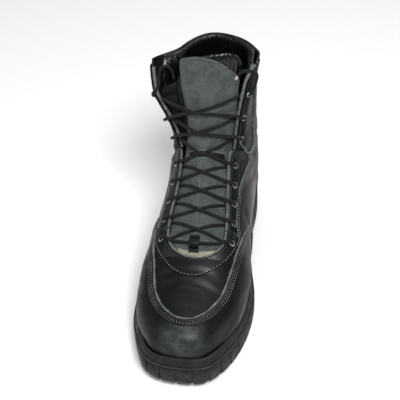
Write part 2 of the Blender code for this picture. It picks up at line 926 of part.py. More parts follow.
def make_saddle():
    """The leather that runs round the bottom of the throat and carries the first eyelets."""
    path = throat_path(SADDLE_TOP - SADDLE_GAP, 9)
    middle = (len(path) - 1) / 2
    starts, ends = [], []
    for k in range(len(path)):
        wing = SADDLE_WINGS[0 if k < middle else 1]
        starts.append(FACING_INSET)
        ends.append(mix(SADDLE_REACH, wing, (abs(k - middle) / middle) ** 2))
    return band("throat_saddle", path, starts, ends, 4, black_leather(), LOW, HIGH)


def make_apron_seam():
    points = [Vector(row) for row in APRON]
    path = []
    for spot in spline(points, 2):
        path.append((place_up(-spot.x), spot.y * THROAT_RADIUS))
    half = 0.0032
    starts, ends = [-half] * len(path), [half] * len(path)
    return band("apron_seam", path, starts, ends, 3, black_leather(), LOW, HIGH)


def make_facing(side, name, bottom, top, inner, outer, count, raised=0.0):
    """Leather along one edge of the throat, between two distances up the top line."""
    rows = []
    for run in share_list(bottom, top, count):
        t = place_of(run)
        edge = throat_edge(t, side)
        rows.append([(t, side * d) for d in share_list(edge + inner, edge + outer, 4)])
    return strip(name, rows, black_leather(), LOW + raised, HIGH + raised)


def beyond(run, across, lift):
    """A point on the last at a distance up the top line, and straight on above the collar."""
    whole = whole_throat()
    point = last(place_up(min(run, whole) / whole), across, lift)
    if run > whole:
        point += (top_point(1.0) - top_point(0.97)).normalized() * (run - whole)
    return point


def tongue_edge(run, side):
    column = 1 if side == LATERAL else 2
    shares = [row[0] for row in TONGUE]
    return THROAT_RADIUS * smooth(shares, [row[column] for row in TONGUE], run / whole_throat())


def rounded_top(across):
    """How much lower the tongue's top edge lies away from its middle: a long medial curve."""
    if across > 0:
        return 0.017 * ease((across - 0.006) / 0.034) ** 1.3
    return 0.003 * ease((-across - 0.013) / 0.006)


def inner_sheet(name, runs, start, end, columns, depth, thickness, finish, thin=1.0, top=None):
    """A sheet inside the boot: rows at runs up the top line, between two distances across.

    start and end are functions of the run, depth is the sheet's outer face below the last's
    surface, thin the share of the thickness left at its edges, top lowers its upper edge.
    """
    outer, inner = [], []
    for k, run in enumerate(runs):
        line_out, line_in = [], []
        for j, across in enumerate(share_list(start(run), end(run), columns)):
            here = run
            if top:
                here -= top(across) * ease((k / (len(runs) - 1) - 0.5) / 0.5)
            edge = k in (0, len(runs) - 1) or j in (0, columns - 1)
            line_out.append(beyond(here, across, -depth))
            line_in.append(beyond(here, across, -depth - thickness * (thin if edge else 1)))
        outer.append(line_out)
        inner.append(line_in)
    return slab(name, outer, inner, finish)


TONGUE_DEPTH = WALL + TONGUE_GAP
SUEDE_TOP = 0.0055  # the suede's top edge beyond the collar
PAD_TOP = 0.0105


def make_tongue():
    """Suede tongue, from under the vamp to above the collar."""
    runs = share_list(-0.014, whole_throat() + SUEDE_TOP, 14)
    return inner_sheet(
        "tongue",
        runs,
        lambda run: -tongue_edge(run, LATERAL),
        lambda run: tongue_edge(run, MEDIAL),
        8,
        TONGUE_DEPTH,
        TONGUE_FACE,
        grey_suede(),
        top=rounded_top,
    )


def make_tongue_lining():
    """Padded lining behind the suede, taller and reaching further to the medial side."""
    runs = share_list(ANKLE_BREAK - 0.012, whole_throat() + PAD_TOP, 8)
    return inner_sheet(
        "tongue_lining",
        runs,
        lambda run: -tongue_edge(run, LATERAL) + 0.002,
        lambda run: tongue_edge(run, MEDIAL) + 0.002,
        8,
        TONGUE_DEPTH + TONGUE_FACE + OVERLAY_GAP * 2,
        TONGUE_PAD,
        lining_cloth(),
        thin=0.4,
        top=rounded_top,
    )


def make_gusset():
    """Soft leather that fills the gap between the tongue and the lateral flap."""
    runs = share_list(ANKLE_BREAK + 0.006, whole_throat() - 0.024, 7)
    return inner_sheet(
        "gusset",
        runs,
        lambda run: -throat_edge(place_of(run), LATERAL) - 0.006,
        lambda run: -tongue_edge(run, LATERAL) - 0.0006,
        5,
        TONGUE_DEPTH,
        0.0011,
        lining_cloth(),
    )


PAD_DEPTH = WALL + 0.0022
PAD_START = 0.0105  # from the throat's edge
COLLAR_PAD = 0.0052
COLLAR_PAD_LENGTH = 0.05
PAD_RISE = 0.0022


def make_collar_lining():
    """Padded lining round the inside of the collar, from one flap to the other."""
    rows_out, rows_in = [], []
    whole = whole_throat()
    runs = share_list(whole - COLLAR_PAD_LENGTH, whole + PAD_RISE, 6)
    for k, run in enumerate(runs):
        t = place_up(min(run, whole) / whole)
        outer, inner = [], []
        for side, _ in SIDES:
            full = section_lengths(t, side)[-1]
            shares = share_list(throat_edge(t, side) + PAD_START, full, 9)
            line_out, line_in = [], []
            for j, d in enumerate(shares):
                thin = 0.35 if k in (0, len(runs) - 1) or j == 0 else 1.0
                lift = -PAD_DEPTH - (0.0009 if k == len(runs) - 1 else 0)
                line_out.append(inside_point(run, side * d, lift))
                line_in.append(inside_point(run, side * d, lift - COLLAR_PAD * thin))
            if side == LATERAL:
                line_out = line_out[-2::-1]
                line_in = line_in[-2::-1]
            outer += line_out
            inner += line_in
        rows_out.append(outer)
        rows_in.append(inner)
    return slab("collar_lining", rows_out, rows_in, lining_cloth())


def inside_point(run, across, lift):
    """As beyond(), with the flare of the shaft's flaps."""
    t = place_up(min(run, whole_throat()) / whole_throat())
    return beyond(run, across, lift) + flare(t, across)


def ring(bm, centre, across, along, radius, sides):
    """A ring of vertices round centre, in the plane of two directions."""
    made = []
    for k in range(sides):
        turn = 2 * math.pi * k / sides
        made.append(
            bm.verts.new(centre + across * radius * math.cos(turn) + along * radius * math.sin(turn))
        )
    return made


def make_eyelet(name, t, across):
    """A rolled metal ring on the leather."""
    by_t = leather(t + 0.004, across) - leather(t - 0.004, across)
    by_across = leather(t, across + EYELET_RADIUS) - leather(t, across - EYELET_RADIUS)
    normal = by_across.cross(by_t).normalized()
    u = by_across.normalized()
    v = normal.cross(u)
    centre = leather(t, across, HIGH) + normal * (EYELET_GAP + EYELET_WIRE)
    bm = bmesh.new()
    loops = []
    around, wire = 8, 4
    for k in range(around):
        turn = 2 * math.pi * k / around
        out = u * math.cos(turn) + v * math.sin(turn)
        middle = centre + out * (EYELET_RADIUS - EYELET_WIRE)
        loops.append(ring(bm, middle, out, normal, EYELET_WIRE, wire))
    for k in range(around):
        a, b = loops[k], loops[(k + 1) % around]
        for j in range(wire):
            i = (j + 1) % wire
            bm.faces.new((a[j], a[i], b[i], b[j]))
    return add_object(name, mesh_from(bm, name), worn_metal())


def eyelet_places():
    """Name, side, place and distance across of every eyelet, bottom row first."""
    spots = []
    for side, word in SIDES:
        for row, run in enumerate(LOWER_EYELETS + UPPER_EYELETS, 1):
            t = place_of(run)
            across = side * (throat_edge(t, side) + EYELET_INSET)
            spots.append((f"eyelet_{word}_{row}", side, t, across))
    return spots


def tube_mesh(name, points, sides=5):
    """A closed tube of lace through points."""
    bm = bmesh.new()
    loops = []
    for k, point in enumerate(points):
        run = points[min(k + 1, len(points) - 1)] - points[max(k - 1, 0)]
        run.normalize()
        u = run.cross(Vector((0, -0.4, 1))).normalized()
        v = run.cross(u)
        loops.append(ring(bm, point, u, v, LACE_RADIUS, sides))
    for a, b in zip(loops, loops[1:]):
        for j in range(sides):
            i = (j + 1) % sides
            bm.faces.new((a[j], a[i], b[i], b[j]))
    bm.faces.new(loops[0])
    bm.faces.new(loops[-1])
    return mesh_from(bm, name)


ON_TOP = HIGH + SEAM_GAP * 2 + LACE_RADIUS + EYELET_WIRE  # lace that lies on the leather
IN_THROAT = LACE_RADIUS + OVERLAY_GAP * 2 - TONGUE_DEPTH  # lace that lies on the tongue
STOP_SHORT = 0.0046  # a strand's lower end stops this far from the throat's edge


def strand(start, end, side, hop, under=False):
    """A strand over the tongue, from row start on one side to row end on the other.

    It begins beside its eyelet, on top of the leather, or under the edge if under, and always
    ends just short of the other edge.
    """
    edge = throat_edge(place_of(start), side)
    far = -(throat_edge(place_of(end), -side) - STOP_SHORT)
    near = edge + EYELET_INSET - EYELET_RADIUS - LACE_RADIUS - 0.0004
    spots = [
        (near, ON_TOP),
        (edge + 0.0004, ON_TOP),
        (edge - 0.0030, mix(IN_THROAT, ON_TOP, 0.72)),
        (edge - 0.0075, IN_THROAT + 0.0004),
    ]
    if under:
        near = edge - STOP_SHORT
        spots = [(near, IN_THROAT), (edge - 0.0085, IN_THROAT)]
    spots += [
        (mix(near, far, 0.4), IN_THROAT + hop * 0.5),
        (mix(near, far, 0.5), IN_THROAT + hop),
        (mix(near, far, 0.6), IN_THROAT + hop * 0.5),
        (mix(near, far, 0.8), IN_THROAT),
        (far, IN_THROAT),
    ]
    points = []
    for across, lift in spots:
        t = place_of(mix(start, end, (across - near) / (far - near)))
        points.append(leather(t, side * across, lift))
    return points


def make_crossing(number, start, end):
    """Two strands that cross between one row of eyelets and the next, joined where they touch."""
    name = f"lace_crossing_{number}"
    first = number == 1
    over = tube_mesh(name, strand(start, end - 0.0035, MEDIAL, LACE_RADIUS * 1.3, first))
    under = tube_mesh(name + "_under", strand(start, end - 0.0035, LATERAL, 0.0, first))
    crossing = add_object(name, over, black_cord())
    other = add_object(name + "_under", under, None, cutter=True)
    join = crossing.modifiers.new("Join", "BOOLEAN")
    join.operation = "UNION"
    join.solver = "EXACT"
    join.object = other
    return crossing


def make_bar():
    """The first row's lace, straight across the throat's bottom."""
    run = LOWER_EYELETS[0]
    t = place_of(run)
    points = []
    for side, _ in SIDES:
        edge = throat_edge(t, side)
        spots = [
            (edge + EYELET_INSET - EYELET_RADIUS - LACE_RADIUS - 0.0004, ON_TOP, 0.0),
            (edge + 0.0004, ON_TOP, 0.002),
            (edge - 0.0030, mix(IN_THROAT, ON_TOP, 0.72), 0.003),
            (edge - 0.0075, IN_THROAT + 0.0004, 0.004),
            (edge - 0.0160, IN_THROAT, 0.0055),
        ]
        line = [leather(place_of(run - sag), side * across, lift) for across, lift, sag in spots]
        if side == MEDIAL:
            points += [*line, leather(place_of(run - 0.006), 0.0, IN_THROAT)]
        else:
            points += reversed(line)
    return add_object("lace_bar", tube_mesh("lace_bar", points), black_cord())


def make_keeper():
    """A small strap on the tongue that the first bar of lace runs under."""
    rows = []
    top = IN_THROAT + LACE_RADIUS + OVERLAY_GAP
    low = -TONGUE_DEPTH + OVERLAY_GAP
    run = LOWER_EYELETS[0] - 0.006
    shape = ((-0.0085, low), (-0.0055, low), (-0.0028, top), (0.0028, top), (0.0055, low), (0.0085, low))
    outer, inner = [], []
    for step, lift in shape:
        t = place_of(run + step)
        shares = share_list(-0.0085, 0.0035, 5)
        outer.append([last(t, across, lift + 0.001) for across in shares])
        inner.append([last(t, across, lift) for across in shares])
    return slab("lace_keeper", outer, inner, black_leather())


def make_lace_end(side, word):
    """The lace's loose end: up the flap from the last eyelet, over the collar and inside."""
    run = UPPER_EYELETS[-1]
    t = place_of(run)
    whole = whole_throat()
    inside = -TONGUE_DEPTH - 0.0036
    clear = EYELET_RADIUS + LACE_RADIUS + 0.0006
    path = [
        (run + clear, EYELET_INSET, ON_TOP),
        (run + 0.010, EYELET_INSET - 0.0005, ON_TOP + 0.0008),
        (run + 0.016, EYELET_INSET - 0.003, ON_TOP + 0.0004),
        (run + 0.0200, 0.0014, ON_TOP + 0.0004),
        (run + 0.0215, -0.0026, ON_TOP * 0.5),
        (run + 0.0222, -0.0038, -WALL / 2),
        (run + 0.0218, -0.0026, inside * 0.75),
        (run + 0.0212, 0.0008, inside),
        (run + 0.018, 0.0042, inside),
        (run + 0.008, 0.0048, inside),
        (run - 0.004, 0.0048, inside),
    ]
    corners = []
    for up, d, lift in path:
        t = place_up(min(up, whole) / whole)
        corners.append(inside_point(up, side * (throat_edge(t, side) + d), lift))
    points = spline(corners, 1)
    curve = bpy.data.curves.new("lace_end_" + word, "CURVE")
    curve.dimensions = "3D"
    curve.bevel_depth = LACE_RADIUS
    curve.bevel_resolution = 2
    curve.use_fill_caps = True
    line = curve.splines.new("POLY")
    line.points.add(len(points) - 1)
    for spot, point in zip(line.points, points):
        spot.co = (*point, 1)
    obj = bpy.data.objects.new("lace_end_" + word, curve)
    bpy.data.collections["Tactical boot"].objects.link(obj)
    curve.materials.append(black_cord())
    return obj


def main():
    clear_scene()
    make_outsole()
    make_midsole()
    make_insole()
    make_upper()
    make_saddle()
    make_apron_seam()
    for side, word in SIDES:
        low = SADDLE_TOP + SADDLE_GAP
        high = ANKLE_BREAK - 0.001
        make_facing(side, "facing_" + word, low, high, FACING_INSET, 0.015, 9)
        top = whole_throat() - 0.0025
        make_facing(
            side, "shaft_facing_" + word, ANKLE_BREAK + 0.001, top, FACING_INSET, 0.0155, 11, 0.0003
        )
    make_tongue()
    make_tongue_lining()
    make_gusset()
    make_collar_lining()
    make_keeper()
    for name, _, t, across in eyelet_places():
        make_eyelet(name, t, across)
    make_bar()
    runs = LOWER_EYELETS + UPPER_EYELETS
    for number, (start, end) in enumerate(zip(runs, runs[1:]), 1):
        make_crossing(number, start, end)
    for side, word in SIDES:
        make_lace_end(side, word)


main()
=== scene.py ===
import math

import bmesh
import bpy
import numpy as np
from mathutils import Euler, Matrix, Vector


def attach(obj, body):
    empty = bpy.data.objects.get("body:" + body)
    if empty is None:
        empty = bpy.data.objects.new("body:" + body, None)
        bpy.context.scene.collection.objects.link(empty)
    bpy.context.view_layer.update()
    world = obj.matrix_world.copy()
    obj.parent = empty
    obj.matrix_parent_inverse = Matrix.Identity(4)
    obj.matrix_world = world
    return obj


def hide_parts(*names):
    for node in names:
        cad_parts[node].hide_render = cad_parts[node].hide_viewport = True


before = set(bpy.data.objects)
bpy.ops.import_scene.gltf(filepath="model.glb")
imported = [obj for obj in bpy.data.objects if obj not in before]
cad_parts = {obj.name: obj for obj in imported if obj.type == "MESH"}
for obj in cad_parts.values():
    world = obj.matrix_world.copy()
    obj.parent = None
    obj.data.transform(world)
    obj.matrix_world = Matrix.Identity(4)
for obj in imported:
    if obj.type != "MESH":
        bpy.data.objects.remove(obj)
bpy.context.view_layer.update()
print("boot: frame loaded,", len(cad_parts), "nodes")

# The boot's own sizes, in metres, the same as the model's
boot = {
    "length": 0.308,
    "ballWidth": 0.119,
    "collarWidth": 0.1,
    "instepHeight": 0.086,
    "shaftHeight": 0.24,
    "backHeight": 0.216,
    "centre": 0.068,
    "wall": 0.0024,
    "overlay": 0.0013,
    "footGap": 0.0014,
    "featherInset": 0.0074,
    "tuckHeight": 0.0055,
    "tuckSlope": 0.05,
    "throatRadius": 0.028,
    "eyeletInset": 0.0078,
    "laceRadius": 0.0016,
    "tongueDepth": 0.0036,
}
centreX = boot["centre"] * boot["ballWidth"] / 2
throatRadius = boot["throatRadius"]
lowerEyelets = (0.021, 0.042, 0.0615, 0.08, 0.0985)
upperEyelets = (0.127, 0.148, 0.169)
medial, lateral = 1, -1
sides = ((medial, "medial"), (lateral, "lateral"))
stations = (0.0, 0.36, 0.6, 1.0)  # shares of the length where the two heights below hold
floorHeights = (0.033, 0.022, 0.027, 0.035)
outsoleHeights = (0.0265, 0.0165, 0.0205, 0.0275)
flareSizes = {"lateral": 0.0185, "medial": 0.004, "reach": 0.032, "drop": 0.62, "dropReach": 0.075}
collarTangent = 0.97
slopeStep, slopeReach = 0.004, 0.0015
fullness = {"foot": 2.15, "front": 2.7, "behind": 1.7}
# Starts and reaches, in shares of the outline, of the sections' bow and of the sole's two ends
footShape = {"bow": (0.15, 0.2), "toe": (0.06, 0.04), "heel": (0.94, 0.05)}

# Outsole outline: share of the length, medial and lateral x in half ball widths
outline = (
    (0.000, 0.068, 0.068), (0.012, 0.400, -0.410), (0.045, 0.580, -0.645), (0.100, 0.745, -0.790),
    (0.190, 0.915, -0.945), (0.290, 1.000, -1.000), (0.370, 0.990, -1.000), (0.480, 0.880, -0.910),
    (0.585, 0.795, -0.805), (0.700, 0.770, -0.725), (0.810, 0.785, -0.690), (0.890, 0.745, -0.650),
    (0.955, 0.590, -0.490), (0.990, 0.335, -0.205), (1.000, 0.068, 0.068),
)

# Upper's sections: name, along, rise, foot, back, medial width, lateral width, peak
sections = (
    ("tip", 0.024, 0.000, 0.000, 0.976, 0.000, 0.000, 1.00),
    ("toe wall", 0.021, 0.235, 0.058, 0.976, 0.300, 0.280, 1.00),
    ("toe cap", 0.038, 0.430, 0.118, 0.976, 0.525, 0.600, 0.92),
    ("toe top", 0.072, 0.545, 0.170, 0.976, 0.670, 0.790, 0.82),
    ("toe box", 0.130, 0.635, 0.228, 0.976, 0.790, 0.915, 0.75),
    ("joint", 0.208, 0.750, 0.305, 0.976, 0.850, 0.985, 0.70),
    ("throat", 0.305, 1.000, 0.390, 0.976, 0.870, 0.985, 0.66),
    ("waist", 0.395, 1.110, 0.490, 0.976, 0.820, 0.900, 0.64),
    ("instep", 0.485, 1.247, 0.610, 0.976, 0.780, 0.785, 0.60),
    ("ankle", 0.553, 1.360, 0.745, 0.976, 0.775, 0.715, 0.56),
    ("heel", 0.578, 1.442, 0.865, 0.976, 0.770, 0.675, 0.54),
    ("turn", 0.589, 1.512, 0.935, 0.976, 0.765, 0.665, 0.52),
    ("seat", 0.597, 1.578, 1.000, 0.976, 0.760, 0.660, 0.50),
    ("counter", 0.610, 1.675, 1.220, 0.984, 0.770, 0.692, 0.50),
    ("achilles", 0.622, 1.762, 1.460, 0.965, 0.800, 0.752, 0.50),
    ("shaft", 0.633, 1.845, 1.670, 0.947, 0.850, 0.800, 0.50),
    ("cuff", 0.642, 1.922, 1.840, 0.940, 0.890, 0.790, 0.46),
    ("collar", 0.650, 2.000, 2.000, 0.942, 0.920, 0.790, 0.42),
)

# Throat's half opening in throat radii, by share of the throat: medial and lateral
throat = (
    (0.00, 1.00, 1.10), (0.20, 1.00, 1.15), (0.35, 0.95, 1.02), (0.50, 0.90, 0.94),
    (0.545, 0.95, 0.95), (0.585, 1.20, 1.14), (0.66, 1.24, 1.28), (0.80, 1.27, 1.50),
    (0.90, 1.36, 1.72), (0.96, 1.62, 1.86), (1.00, 2.20, 2.12),
)
# Lines sewn on the upper: share of the throat up the top line, and distance across in radii
apron = (
    (-0.06, -4.10), (0.10, -3.85), (0.235, -3.35), (0.285, -2.80), (0.265, -2.35), (0.179, -2.02),
    (0.005, -1.60), (-0.169, -1.34), (-0.255, -1.04), (-0.309, -0.61), (-0.330, -0.18),
    (-0.320, 0.29), (-0.275, 0.73), (-0.190, 1.07), (-0.071, 1.28), (0.064, 1.50), (0.155, 1.76),
    (0.235, 2.15), (0.290, 2.75), (0.275, 3.30), (0.13, 3.80), (-0.05, 4.10),
)
saddleEdge = (
    (0.192, -1.98), (0.095, -1.66), (0.005, -1.24), (-0.062, -0.80), (-0.099, -0.24), (-0.090, 0.25),
    (-0.041, 0.77), (0.035, 1.21), (0.105, 1.48), (0.160, 1.66),
)
medialStrip = (
    (0.995, 1.95), (0.92, 2.30), (0.848, 2.56), (0.754, 2.88), (0.67, 2.90), (0.61, 2.66), (0.563, 2.36),
    (0.502, 1.96), (0.45, 1.70), (0.398, 1.56), (0.33, 1.47), (0.265, 1.44), (0.20, 1.50), (0.158, 1.62),
)
lateralStrip = (
    (0.995, -2.95), (0.92, -2.85), (0.83, -2.95), (0.74, -3.10), (0.66, -3.05), (0.61, -2.75), (0.563, -2.4),
    (0.502, -1.98), (0.45, -1.74), (0.398, -1.66), (0.33, -1.66), (0.265, -1.72), (0.20, -1.80), (0.185, -1.84),
)


def mix(a, b, share):
    return a + (b - a) * share


def ease(share):
    share = np.clip(share, 0, 1)
    return share * share * (3 - 2 * share)


def smooth(xs, ys, x):  # a curve through a table's points, with no overshoot
    xs, ys = np.asarray(xs, float), np.asarray(ys, float)
    x = np.clip(x, xs[0], xs[-1])
    rise = np.diff(ys) / np.diff(xs)
    slope = np.zeros(len(xs))
    slope[0], slope[-1] = rise[0], rise[-1]
    both = rise[:-1] * rise[1:]
    total = rise[:-1] + rise[1:]
    slope[1:-1] = np.where(both > 0, 2 * both / np.where(both > 0, total, 1), 0)
    k = np.clip(np.searchsorted(xs, x, side="right") - 1, 0, len(xs) - 2)
    width = xs[k + 1] - xs[k]
    s = (x - xs[k]) / width
    low = (1 + 2 * s) * (1 - s) ** 2 * ys[k] + s * (1 - s) ** 2 * width * slope[k]
    return low + s * s * (3 - 2 * s) * ys[k + 1] + s * s * (s - 1) * width * slope[k + 1]


def rounded(share):  # a quarter circle's height, from 0 at an edge to 1
    return np.sqrt(np.clip(1 - (1 - np.clip(share, 0, 1)) ** 2, 0, 1))


def column(rows, k):
    return [row[k] for row in rows]


def sideValue(table, side, share):  # a table of shares with medial and lateral values
    return smooth(column(table, 0), column(table, 1 if side == medial else 2), share)


def roundedLine(points, steps):  # a rounded line through points
    p = np.array(points, float)
    p = np.vstack([2 * p[0] - p[1], p, 2 * p[-1] - p[-2]])
    line = []
    for k in range(1, len(p) - 2):
        quad = p[k - 1 : k + 3]
        t = np.concatenate([[0], np.cumsum(np.linalg.norm(np.diff(quad, axis=0), axis=1) ** 0.5)])
        for s in np.arange(steps) / steps:
            x = mix(t[1], t[2], s)
            a = [mix(quad[i], quad[i + 1], (x - t[i]) / (t[i + 1] - t[i])) for i in range(3)]
            b = [mix(a[i], a[i + 1], (x - t[i]) / (t[i + 2] - t[i])) for i in range(2)]
            line.append(mix(b[0], b[1], (x - t[1]) / (t[2] - t[1])))
    line.append(p[-2])
    return np.array(line)


def runOf(line):
    return np.concatenate([[0], np.cumsum(np.linalg.norm(np.diff(line, axis=0), axis=1))])


def spotsAlong(line, distances):
    run = runOf(line)
    return np.stack([np.interp(distances, run, line[:, i]) for i in range(line.shape[1])], axis=-1)


rims = {}


def rim(side, inset):  # one side of the outsole's outline, toe to heel, moved in
    if (side, inset) not in rims:
        k = 1 if side == medial else 2
        half = boot["ballWidth"] / 2
        points = [(row[k] * half, (row[0] - 0.5) * boot["length"]) for row in outline]
        ahead = (2 * points[0][0] - points[1][0], points[1][1])
        behind = (2 * points[-1][0] - points[-2][0], points[-2][1])
        line = roundedLine([ahead, *points, behind], 12)[12:-12]
        run = np.zeros_like(line)
        run[1:-1] = line[2:] - line[:-2]
        run[0], run[-1] = (side, 0), (-side, 0)
        run /= np.linalg.norm(run, axis=1)[:, None]
        rims[side, inset] = line + np.stack([-run[:, 1], run[:, 0]], axis=1) * side * inset
    return rims[side, inset]


def rimSpots(side, inset, shares):
    line = rim(side, inset)
    return spotsAlong(line, np.clip(shares, 0, 1) * runOf(line)[-1])


def heightAt(heights, y):
    return smooth(stations, heights, y / boot["length"] + 0.5)


def topHeight(rise):
    toe = floorHeights[0] + boot["footGap"]
    low = mix(toe, boot["instepHeight"], rise)
    return np.where(rise <= 1, low, mix(boot["instepHeight"], boot["shaftHeight"], rise - 1))


places = [0.0]
for a, b in zip(sections, sections[1:]):
    climbed = float(topHeight(b[2]) - topHeight(a[2]))
    moved = math.hypot((b[1] - a[1]) * boot["length"], climbed)
    places.append(places[-1] + moved + (b[3] - a[3]) * boot["length"])
places = np.array(places) / places[-1]


def sectionValue(k, t):
    return smooth(places, column(sections, k), t)


def topPoint(t):
    y = (sectionValue(1, t) - 0.5) * boot["length"]
    return np.stack([np.full_like(y, centreX), y, topHeight(sectionValue(2, t))], axis=-1)


def section(t, side, steps=48):  # one section's line, from the top to its foot
    top = topPoint(np.array(t))
    share = float(sectionValue(3, t))
    if share < 1:
        flat = rimSpots(side, boot["featherInset"], share)
        foot = (*flat, float(heightAt(floorHeights, flat[1])) + boot["footGap"])
    else:
        seat = float(heightAt(floorHeights, boot["length"] / 2)) + boot["footGap"]
        y = (float(sectionValue(4, t)) - 0.5) * boot["length"]
        foot = (centreX, y, mix(seat, boot["backHeight"], share - 1))
    climb = min(max(share - 1, 0), 1)
    scale = mix(boot["ballWidth"], boot["collarWidth"], climb) / 2
    peak = float(sectionValue(7, t))
    end = max(0.0, side * (foot[0] - centreX))
    wide = max(float(sectionValue(5 if side == medial else 6, t)) * scale, end, 1e-6)
    full, behind = [mix(fullness["foot"], fullness[word], climb) for word in ("front", "behind")]
    kept = (end / wide) ** behind
    start, reach = footShape["bow"]
    bow = 1 - ease((share - start) / reach)
    angle = np.arange(steps) / steps * math.pi / 2
    down = np.sin(np.arange(steps + 1) / steps * math.pi / 2)
    q = np.concatenate([peak * (1 - np.cos(angle) ** (2 / full)), mix(peak, 1, down)])
    low = np.maximum(0, 1 - (1 - kept) * down**behind) ** (1 / behind)
    x = wide * np.concatenate([np.sin(angle) ** (2 / full), low])
    z = mix(top[2], foot[2], q)
    if climb == 0:
        (toe, toeReach), (heel, heelReach) = footShape["toe"], footShape["heel"]
        free = ease((toe - share) / toeReach) + ease((share - heel) / heelReach)
        rise = z - foot[2]
        most = end + boot["tuckSlope"] * rise + np.maximum(0, rise - boot["tuckHeight"])
        x = np.where(q > peak, np.minimum(x, most + free * boot["ballWidth"]), x)
    out = np.where(q >= peak, 1, np.clip(x / max(end, 1e-6), 0, 1) ** 2)
    y = mix(top[1], foot[1], mix(q, out, bow))
    return np.stack([centreX + side * x, y, z], axis=1)


# The last's surface as two tables of points, read by place t and distance across
lastRows, lastColumns = 421, 181
lastGrid = np.zeros((2, lastRows, lastColumns, 3))
lastLength = np.zeros((2, lastRows))
for s, side in enumerate((medial, lateral)):
    for r in range(lastRows):
        line = section(r / (lastRows - 1), side)
        run = runOf(line)
        lastLength[s, r] = run[-1]
        lastGrid[s, r] = spotsAlong(line, np.linspace(0, run[-1], lastColumns))
topLine = runOf(topPoint(np.linspace(0, 1, 801)))
throatStart = places[column(sections, 0).index("throat")]
ankle = places[column(sections, 0).index("instep")]


def topRun(t):
    return np.interp(t, np.linspace(0, 1, 801), topLine)


throatRun = float(topRun(throatStart))
wholeThroat = float(topRun(1.0)) - throatRun


def placeOf(run):  # place t by distance up the top line from the throat's bottom
    return np.interp(np.asarray(run, float) + throatRun, topLine, np.linspace(0, 1, 801))


def placeUp(share):
    return placeOf(np.asarray(share, float) * wholeThroat)


def fullLength(t, side):
    return np.interp(t, np.linspace(0, 1, lastRows), lastLength[0 if side == medial else 1])


def alongRow(s, row, distance):
    share = np.clip(distance / np.maximum(lastLength[s, row], 1e-9), 0, 1) * (lastColumns - 1)
    low = np.minimum(share.astype(int), lastColumns - 2)
    part = (share - low)[..., None]
    return mix(lastGrid[s, row, low], lastGrid[s, row, low + 1], part)


def lastPoint(t, across):
    t, across = np.broadcast_arrays(np.asarray(t, float), np.asarray(across, float))
    s = (across < 0).astype(int)
    k = np.clip(t, 0, 1) * (lastRows - 1)
    low = np.minimum(k.astype(int), lastRows - 2)
    part = (k - low)[..., None]
    return mix(alongRow(s, low, abs(across)), alongRow(s, low + 1, abs(across)), part)


def throatEdge(t, side):
    run = np.maximum(0, topRun(t) - throatRun)
    wide = sideValue(throat, side, run / wholeThroat)
    part = np.clip(1 - run / throatRadius, 0, 1)
    return throatRadius * wide * np.sqrt(1 - part**2)


def flare(t, across):
    t, across = np.broadcast_arrays(np.asarray(t, float), np.asarray(across, float))
    rise = ease((t - ankle) / (1 - ankle))
    near = ease(1 - (abs(across) - throatEdge(t, medial)) / flareSizes["reach"])
    out = np.stack([flareSizes["medial"] * rise * near, rise * 0, rise * 0], axis=-1)
    behind = abs(across) - throatEdge(t, lateral)
    near = ease(1 - behind / flareSizes["reach"])
    dip = flareSizes["drop"] * ease(1 - behind / flareSizes["dropReach"])
    low = np.stack([-near, rise * 0, -dip], axis=-1) * (flareSizes["lateral"] * rise)[..., None]
    return np.where((across >= 0)[..., None], out, low)


def skinPoint(t, across):
    return lastPoint(t, across) + flare(t, across)


def skinSlopes(t, across):
    t, across = np.broadcast_arrays(np.asarray(t, float), np.asarray(across, float))
    most = np.where(across >= 0, fullLength(t, medial), fullLength(t, lateral)) - slopeReach
    across = np.sign(across) * np.clip(abs(across), 0, np.maximum(most, 0))
    high, low = np.minimum(t + slopeStep, 1), np.maximum(t - slopeStep, 0)
    byT = (skinPoint(high, across) - skinPoint(low, across)) / (high - low)[..., None]
    byA = (skinPoint(t, across + slopeReach) - skinPoint(t, across - slopeReach)) / (2 * slopeReach)
    return byT, byA


def unit(v):
    return v / np.maximum(np.linalg.norm(v, axis=-1), 1e-9)[..., None]


def skinNormal(t, across):
    byT, byA = skinSlopes(t, across)
    return unit(np.cross(byA, byT))


